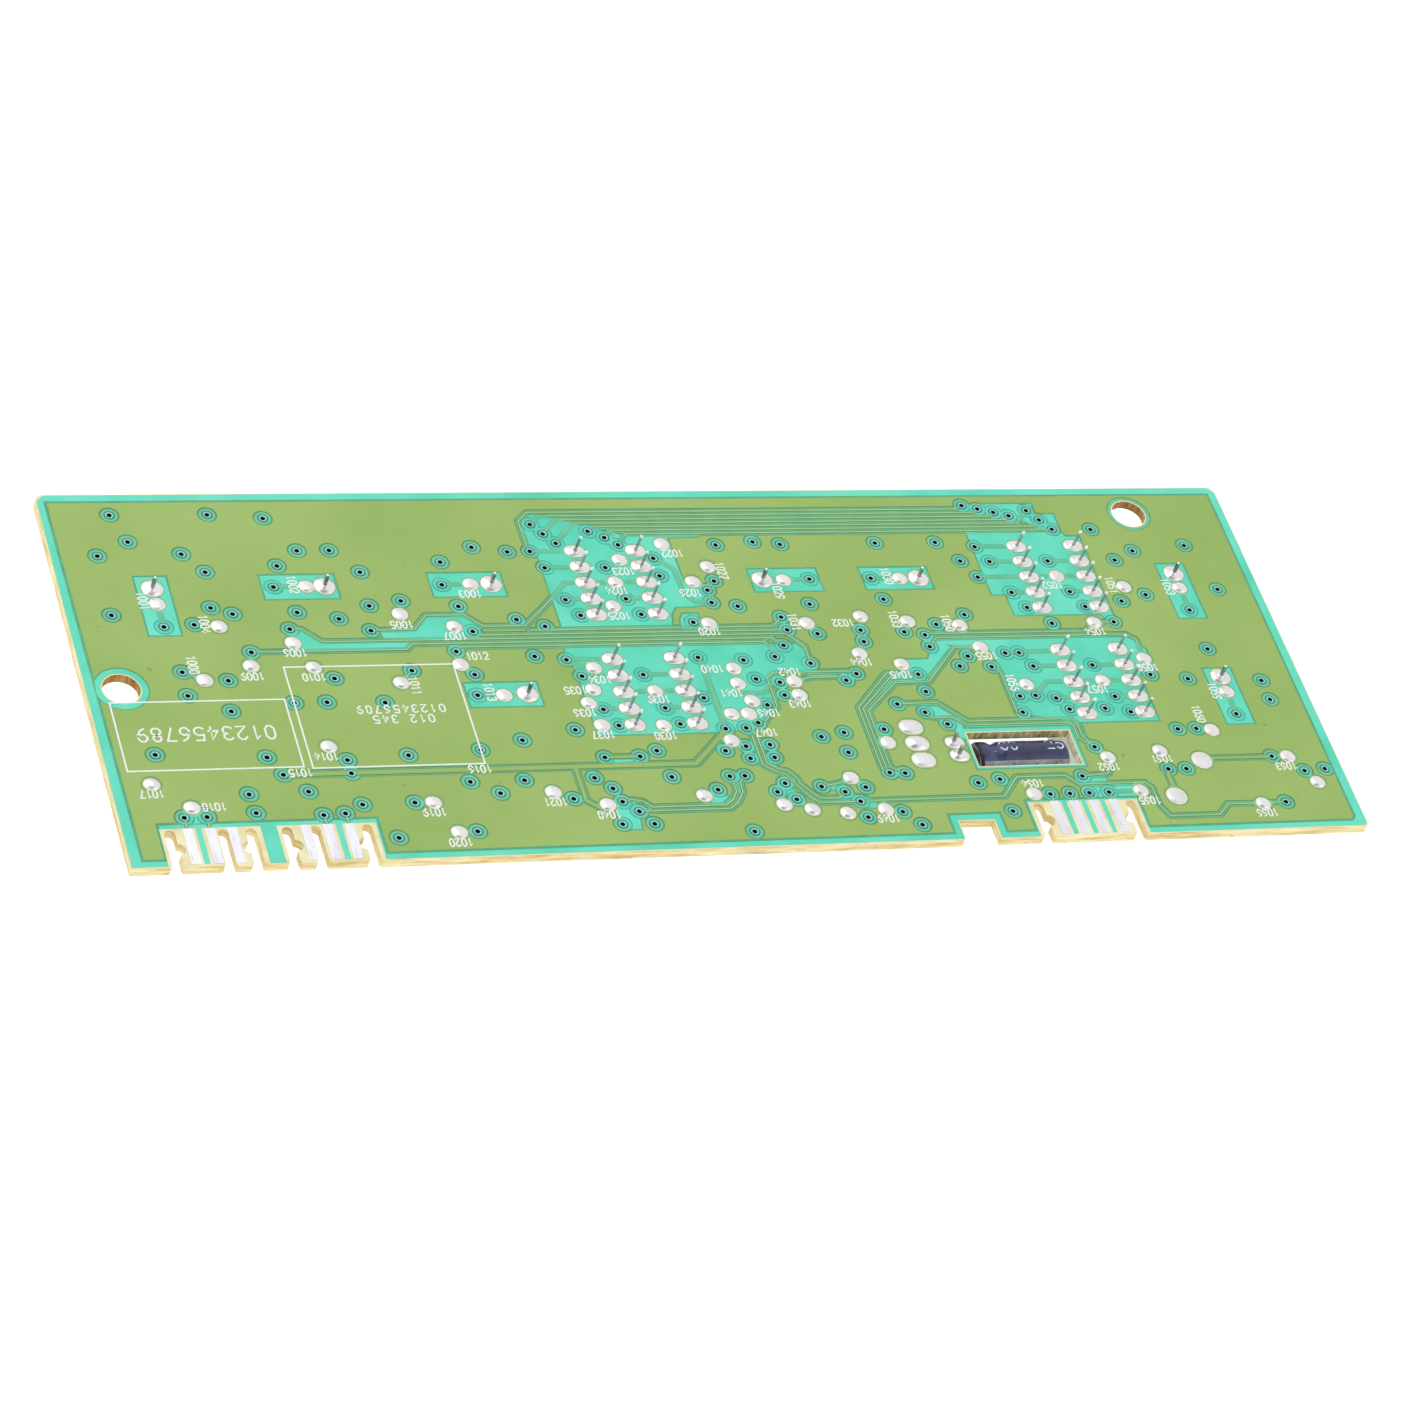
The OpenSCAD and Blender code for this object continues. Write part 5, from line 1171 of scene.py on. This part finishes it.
def washer(bag, x, y, hl, r0, r1, z0, z1, n=36, off=0.0):
    ring = lambda r, h, z, o=0.0: [(x + o + r * math.cos(t) + h * max(-1.0, min(1.0, 1.7 * math.cos(t))), y + r * math.sin(t), z) for t in [2 * math.pi * k / n for k in range(n)]]
    rs = [ring(r0, 0.0, z0), ring(r0, 0.0, z1 + 0.015), ring(r1 * 0.93, hl, z1, off), ring(r1, hl, z0 - 0.004, off), ring(r1, hl, z0, off)]
    v = [p for r in rs for p in r]
    f = []
    for j in range(5):
        for k in range(n):
            a, b = j * n + k, j * n + (k + 1) % n
            c, d = ((j + 1) % 5) * n + k, ((j + 1) % 5) * n + (k + 1) % n
            f.append((a, c, d, b))
    bag.add(v, f, 0, True)


open_p, open_c, open_s, bare, pads = [], [], [], [], []
bag = Bag()
for cx, cy, q in RESISTORS + CERAMICS:
    open_p.append(rect(cx, cy, q, -1.5, -0.74, 1.5, 0.74))
    bare.append(rect(cx, cy, q, -1.75, -0.98, 1.75, 0.98))
    h = 0.3 if (cx, cy, q) in RESISTORS else 0.45
    for s in (0, 2):
        toe(bag, cx, cy, q + s, 1.0, 0.0, 1.28, 0.44, h)
        pads.append((cx, cy, q + s, 1.5, 0.0))
for cx, cy, q, n, pitch, w, end in ROWS:
    half = (n - 1) / 2 * pitch
    bare.append(rect(cx, cy, q, end - 0.95, -half - w / 2 - 0.32, end + 0.7, half + w / 2 + 0.32))
    for k in range(n):
        v = (k - (n - 1) / 2) * pitch
        open_p.append(rect(cx, cy, q, end - 0.66, v - w / 2 - 0.06, end + 0.45, v + w / 2 + 0.06))
        toe(bag, cx, cy, q, end, v, w + 0.06, 0.4, 0.13)
        pads.append((cx, cy, q, end + 0.42, v))
for p, _, _, _ in KEYS:
    washer(bag, p[0], p[1], 0.0, 0.45, 1.0, ZB - 0.001, ZB - 0.03)
    open_c.append((p[0], p[1], 1.03))
for x, y in CAP_LEADS:
    washer(bag, x - 0.2, y, 0.275, 0.45, 0.92, ZB - 0.001, ZB - 0.03, off=0.2)
    open_s.append((x - 0.275, y, x + 0.275, y, 0.955))
for x, y in BLANK_OVAL:
    washer(bag, x, y, 0.35, 0.45, 1.17, ZB - 0.001, ZB - 0.03)
    open_s.append((x - 0.35, y, x + 0.35, y, 1.2))
for x, y in BLANK_ROUND:
    washer(bag, x, y, 0.0, 0.45, 1.3, ZB - 0.001, ZB - 0.03)
    open_c.append((x, y, 1.34))
bag.make("component_side_pads", [M_TINPAD], "solder")


def route():
    """short tracks from the pads to vias near them, each kept clear of everything else"""
    circ = [(x, y, 0.6) for x, y in VIAS] + [(x, y, r) for x, y, r in open_c]
    segs = [s for s in open_s]
    for cx, cy, q in RESISTORS + CERAMICS:
        a, b = turned(cx, cy, q, -0.75, 0), turned(cx, cy, q, 0.75, 0)
        segs.append((a[0], a[1], b[0], b[1], 0.74))
    for cx, cy, q, n, pitch, w, end in ROWS:
        for k in range(n):
            v = (k - (n - 1) / 2) * pitch
            a, b = turned(cx, cy, q, end - 0.5, v), turned(cx, cy, q, end + 0.3, v)
            segs.append((a[0], a[1], b[0], b[1], w / 2))
    walls = [[(a, b), (c, b), (c, d), (a, d)] for a, b, c, d in HOUSES] + [offset_poly(win, 0.5)]
    rings = [(p[0], p[1], 4.9) for p, _, _, _ in KEYS]
    holes = [(x, y, c) for x, y, r, c in MOUNTS]
    taken, out = {}, []
    for cx, cy, q, u, v in pads:
        a = turned(cx, cy, q, u - 0.3, v)
        best = None
        cand = sorted((math.hypot(x - a[0], y - a[1]), i) for i, (x, y) in enumerate(VIAS))[:14]
        for dist, i in cand:
            if dist > 11 or taken.get(i, 0) > 0 or best:
                continue
            vx, vy = VIAS[i]
            for k in (0.7, 1.1, 1.6, 2.3, 3.1):
                b = turned(cx, cy, q, u + k - 0.3, v)
                dx, dy = vx - b[0], vy - b[1]
                m = min(abs(dx), abs(dy))
                c1 = (b[0] + math.copysign(m, dx), b[1] + math.copysign(m, dy))
                if abs(dx) > abs(dy):
                    c2 = (b[0] + dx - math.copysign(m, dx), b[1])
                else:
                    c2 = (b[0], b[1] + dy - math.copysign(m, dy))
                for mid in (c1, c2):
                    path = [a, b, mid, (vx, vy)]
                    pts = []
                    for (x1, y1), (x2, y2) in zip(path, path[1:]):
                        l = max(1, int(math.hypot(x2 - x1, y2 - y1) / 0.2))
                        pts += [(x1 + (x2 - x1) * j / l, y1 + (y2 - y1) * j / l) for j in range(l)]
                    P = np.array(pts + [path[-1]])
                    d0 = np.array([mid[0] - b[0], mid[1] - b[1]])
                    d1 = np.array([b[0] - a[0], b[1] - a[1]])
                    if np.dot(d0, d1) < -1e-6 or np.dot([vx - mid[0], vy - mid[1]], d0) < -1e-6:
                        continue
                    o = [c for j, c in enumerate(circ) if j != i]
                    s = [g for g in segs if math.hypot((g[0] + g[2]) / 2 - (a[0] + b[0]) / 2, (g[1] + g[3]) / 2 - (a[1] + b[1]) / 2) > 0.0]
                    own = d_capsules(P, s)
                    far = np.hypot(P[:, 0] - a[0], P[:, 1] - a[1]) > 0.75
                    if (own[far] < 0.42).any() or (d_circles(P, o) < 0.42).any() or (d_polys(P, walls) < 0.35).any() or (d_circles(P, rings + holes) < 0.4).any():
                        continue
                    if (d_poly(P, POUR) > -0.5).any():
                        continue
                    best = (i, path)
                    break
                if best:
                    break
        if best:
            i, path = best
            taken[i] = 1
            out.append((0.28, path))
            segs += [(x1, y1, x2, y2, 0.14) for (x1, y1), (x2, y2) in zip(path, path[1:])]
    return out


win = [(WINDOW[0], WINDOW[1]), (WINDOW[2], WINDOW[1]), (WINDOW[2], WINDOW[3]), (WINDOW[0], WINDOW[3])]
SHORT = route()
print("short tracks", len(SHORT))
for a, b, c, d in HOUSES:
    open_p.append([(a - 0.04, b - 0.04), (c + 0.04, b - 0.04), (c + 0.04, d + 0.04), (a - 0.04, d + 0.04)])
    bare.append([(a - 0.4, b - 0.4), (c + 0.4, b - 0.4), (c + 0.4, d + 0.4), (a - 0.4, d + 0.4)])
INSIDE = [not any(a - 0.5 < x < c + 0.5 and b - 0.5 < y < d + 0.5 for a, b, c, d in HOUSES) for x, y in VIAS]
mask_sheet("component_side_mask", ZB, -1, SHORT, [(x, y, r + 0.04) for x, y, r in open_c], [(a, b, c, d, h + 0.04) for a, b, c, d, h in open_s],
    bare + [offset_poly(win, 0.5)], POUR, MASK, [(x, y, c) for x, y, r, c in MOUNTS] + [(p[0], p[1], 5.7) for p, _, _, _ in KEYS],
    open_c + [(x, y, r + 0.2) for x, y, r, c in MOUNTS], open_s, open_p + [offset_poly(win, 0.15)], [v for v, k in zip(VIAS, INSIDE) if k], thick=0.74)

bag = Bag()
K0, K1 = ZB - 0.02, ZB - 0.062
for a, b, c, d in HOUSES:
    ribbon(bag, [(a - 0.5, b - 0.5), (c + 0.5, b - 0.5), (c + 0.5, d + 0.5), (a - 0.5, d + 0.5)], True, 0.18, K1, K0)
for p, _, _, _ in KEYS:
    ribbon(bag, circle_pts(p[0], p[1], 4.95, 72), True, 0.2, K1, K0)
for cx, cy, q in RESISTORS + CERAMICS:
    for s in (-1, 1):
        ribbon(bag, [turned(cx, cy, q, -1.55, s * 0.92), turned(cx, cy, q, 1.55, s * 0.92)], False, 0.15, K1, K0)


def corner_marks(x0, y0, x1, y1, l):
    for x, y, sx, sy in ((x0, y0, 1, 1), (x1, y0, -1, 1), (x1, y1, -1, -1), (x0, y1, 1, -1)):
        ribbon(bag, [(x + sx * l, y), (x, y), (x, y + sy * l)], False, 0.18, K1, K0)


corner_marks(59.4, 2.0, 72.6, 15.2, 1.2)
for x, y in ((93, 27.6), (93, 10.4)):
    for s in (-1, 1):
        ribbon(bag, [(x - 1.9, y + s * 5.35), (x + 1.9, y + s * 5.35)], False, 0.18, K1, K0)
for s in (-1, 1):
    ribbon(bag, [(29.4, 22.5 + s * 5.5), (34.6, 22.5 + s * 5.5)], False, 0.18, K1, K0)
    ribbon(bag, [(40.9, 6.4 + s * 3.65), (44.1, 6.4 + s * 3.65)], False, 0.18, K1, K0)
for x, y in ((58.3, 15.6), (27.4, 28.3), (89.4, 32.4), (89.4, 15.2)):
    ribbon(bag, circle_pts(x, y, 0.28, 14), True, 0.3, K1, K0)


def under_number(text, cx, cy, height):
    # reads from below: mirrored along x
    tmp = Bag()
    number(tmp, text, 0.0, 0.0, height, height * 0.74, 0, height * 0.14, K1, K0, wide=0.8)
    bag.add([(cx - x, cy + y, z) for x, y, z in tmp.v], [f[::-1] for f in tmp.f], 0, False)


n = 301
for cx, cy, q in RESISTORS:
    if q == 0 and not (13 <= cx <= 31 and cy == 30.6):
        under_number(str(n), cx - 3.2 if cx < 100 and cy < 46 else cx + (0 if cy > 46 else 3.2), cy + (1.75 if cy > 46 else 0), 0.95)
    else:
        under_number(str(n), cx, cy + (1.7 if q == 0 else 2.4), 0.95)
    n += 1
n = 401
for cx, cy, q in CERAMICS:
    under_number(str(n), cx + (0 if q == 0 else 2.4), cy + (1.7 if q == 0 else 0), 0.95)
    n += 1
for k, (a, b, c, d) in enumerate(HOUSES):
    under_number(str(501 + k), (a + c) / 2, d + 1.4, 1.1)
for k, (p, _, _, _) in enumerate(KEYS):
    under_number(str(601 + k), p[0] + 3.3, p[1] - 5.0, 1.1)
for k, (x, y) in enumerate([(74.6, 4.0), (36.8, 27.4), (97.6, 24.0), (88.2, 6.4), (46.6, 3.2)]):
    under_number(str(701 + k), x, y, 1.1)
bag.make("component_side_marking", [M_INK], "laminate")

# ------------------------------------------------------------------ floor, light, camera
def floor():
    s = 3000.0
    ob = new_mesh("floor", [(-s, -s, -0.02), (s, -s, -0.02), (s, s, -0.02), (-s, s, -0.02)], [(0, 1, 2, 3)], [])
    m = bpy.data.materials.new("pale_floor")
    m.use_nodes = True
    b = next(n for n in m.node_tree.nodes if n.type == "BSDF_PRINCIPLED")
    b.inputs["Base Color"].default_value = (0.5, 0.5, 0.5, 1)
    b.inputs["Roughness"].default_value = 0.9
    b.inputs["Specular IOR Level"].default_value = 0.1
    b.inputs["Emission Color"].default_value = (1, 1, 1, 1)
    b.inputs["Emission Strength"].default_value = 1.0
    ob.data.materials.append(m)


floor()
scene = bpy.context.scene
world = bpy.data.worlds.new("studio")
scene.world = world
world.use_nodes = True
nt = world.node_tree
bg = next(n for n in nt.nodes if n.type == "BACKGROUND")
bg.inputs["Strength"].default_value = 0.82
tc = nt.nodes.new("ShaderNodeTexCoord")      # white tent with a dim opening straight above
dot = nt.nodes.new("ShaderNodeVectorMath")
dot.operation = "DOT_PRODUCT"
dot.inputs[1].default_value = (0.03, 0.05, 0.9983)
nt.links.new(tc.outputs["Generated"], dot.inputs[0])
mr = nt.nodes.new("ShaderNodeMapRange")
mr.interpolation_type = "SMOOTHSTEP"
mr.inputs["From Min"].default_value = 0.92
mr.inputs["From Max"].default_value = 0.99
nt.links.new(dot.outputs["Value"], mr.inputs["Value"])
mx = nt.nodes.new("ShaderNodeMix")
mx.data_type = "RGBA"
mx.inputs["A"].default_value = (1, 1, 1, 1)
mx.inputs["B"].default_value = (0.08, 0.085, 0.08, 1)
nt.links.new(mr.outputs["Result"], mx.inputs["Factor"])
nt.links.new(mx.outputs["Result"], bg.inputs["Color"])


def area(name, loc, target, size, power):
    l = bpy.data.lights.new(name, "AREA")
    l.energy = power
    l.size = size
    o = bpy.data.objects.new(name, l)
    scene.collection.objects.link(o)
    o.location = loc
    o.rotation_mode = "QUATERNION"
    o.rotation_quaternion = (Vector(target) - Vector(loc)).to_track_quat("-Z", "Y")


area("key", (-0.32, 0.6, 0.75), (0, 0, 0), 1.1, 3.4)
area("fill", (0.7, -0.5, 0.65), (0, 0, 0), 1.0, 1.6)
scene.view_settings.view_transform = "Standard"
scene.view_settings.look = "None"

cam = bpy.data.cameras.new("camera")
cam.sensor_width = 36.0
cam.lens = 5042.87 / 1404 * 36.0
cam.clip_start, cam.clip_end = 0.01, 10
co = bpy.data.objects.new("camera", cam)
scene.collection.objects.link(co)
right, up_, fwd = Vector((0.92696, -0.26758, 0.26294)), Vector((0.02160, 0.73781, 0.67467)), Vector((0.37453, 0.61971, -0.68970))
R = Matrix((right, up_, -fwd)).transposed()
co.matrix_world = Matrix.Translation((-0.219337, -0.363590, 0.409220)) @ R.to_4x4()
scene.camera = co
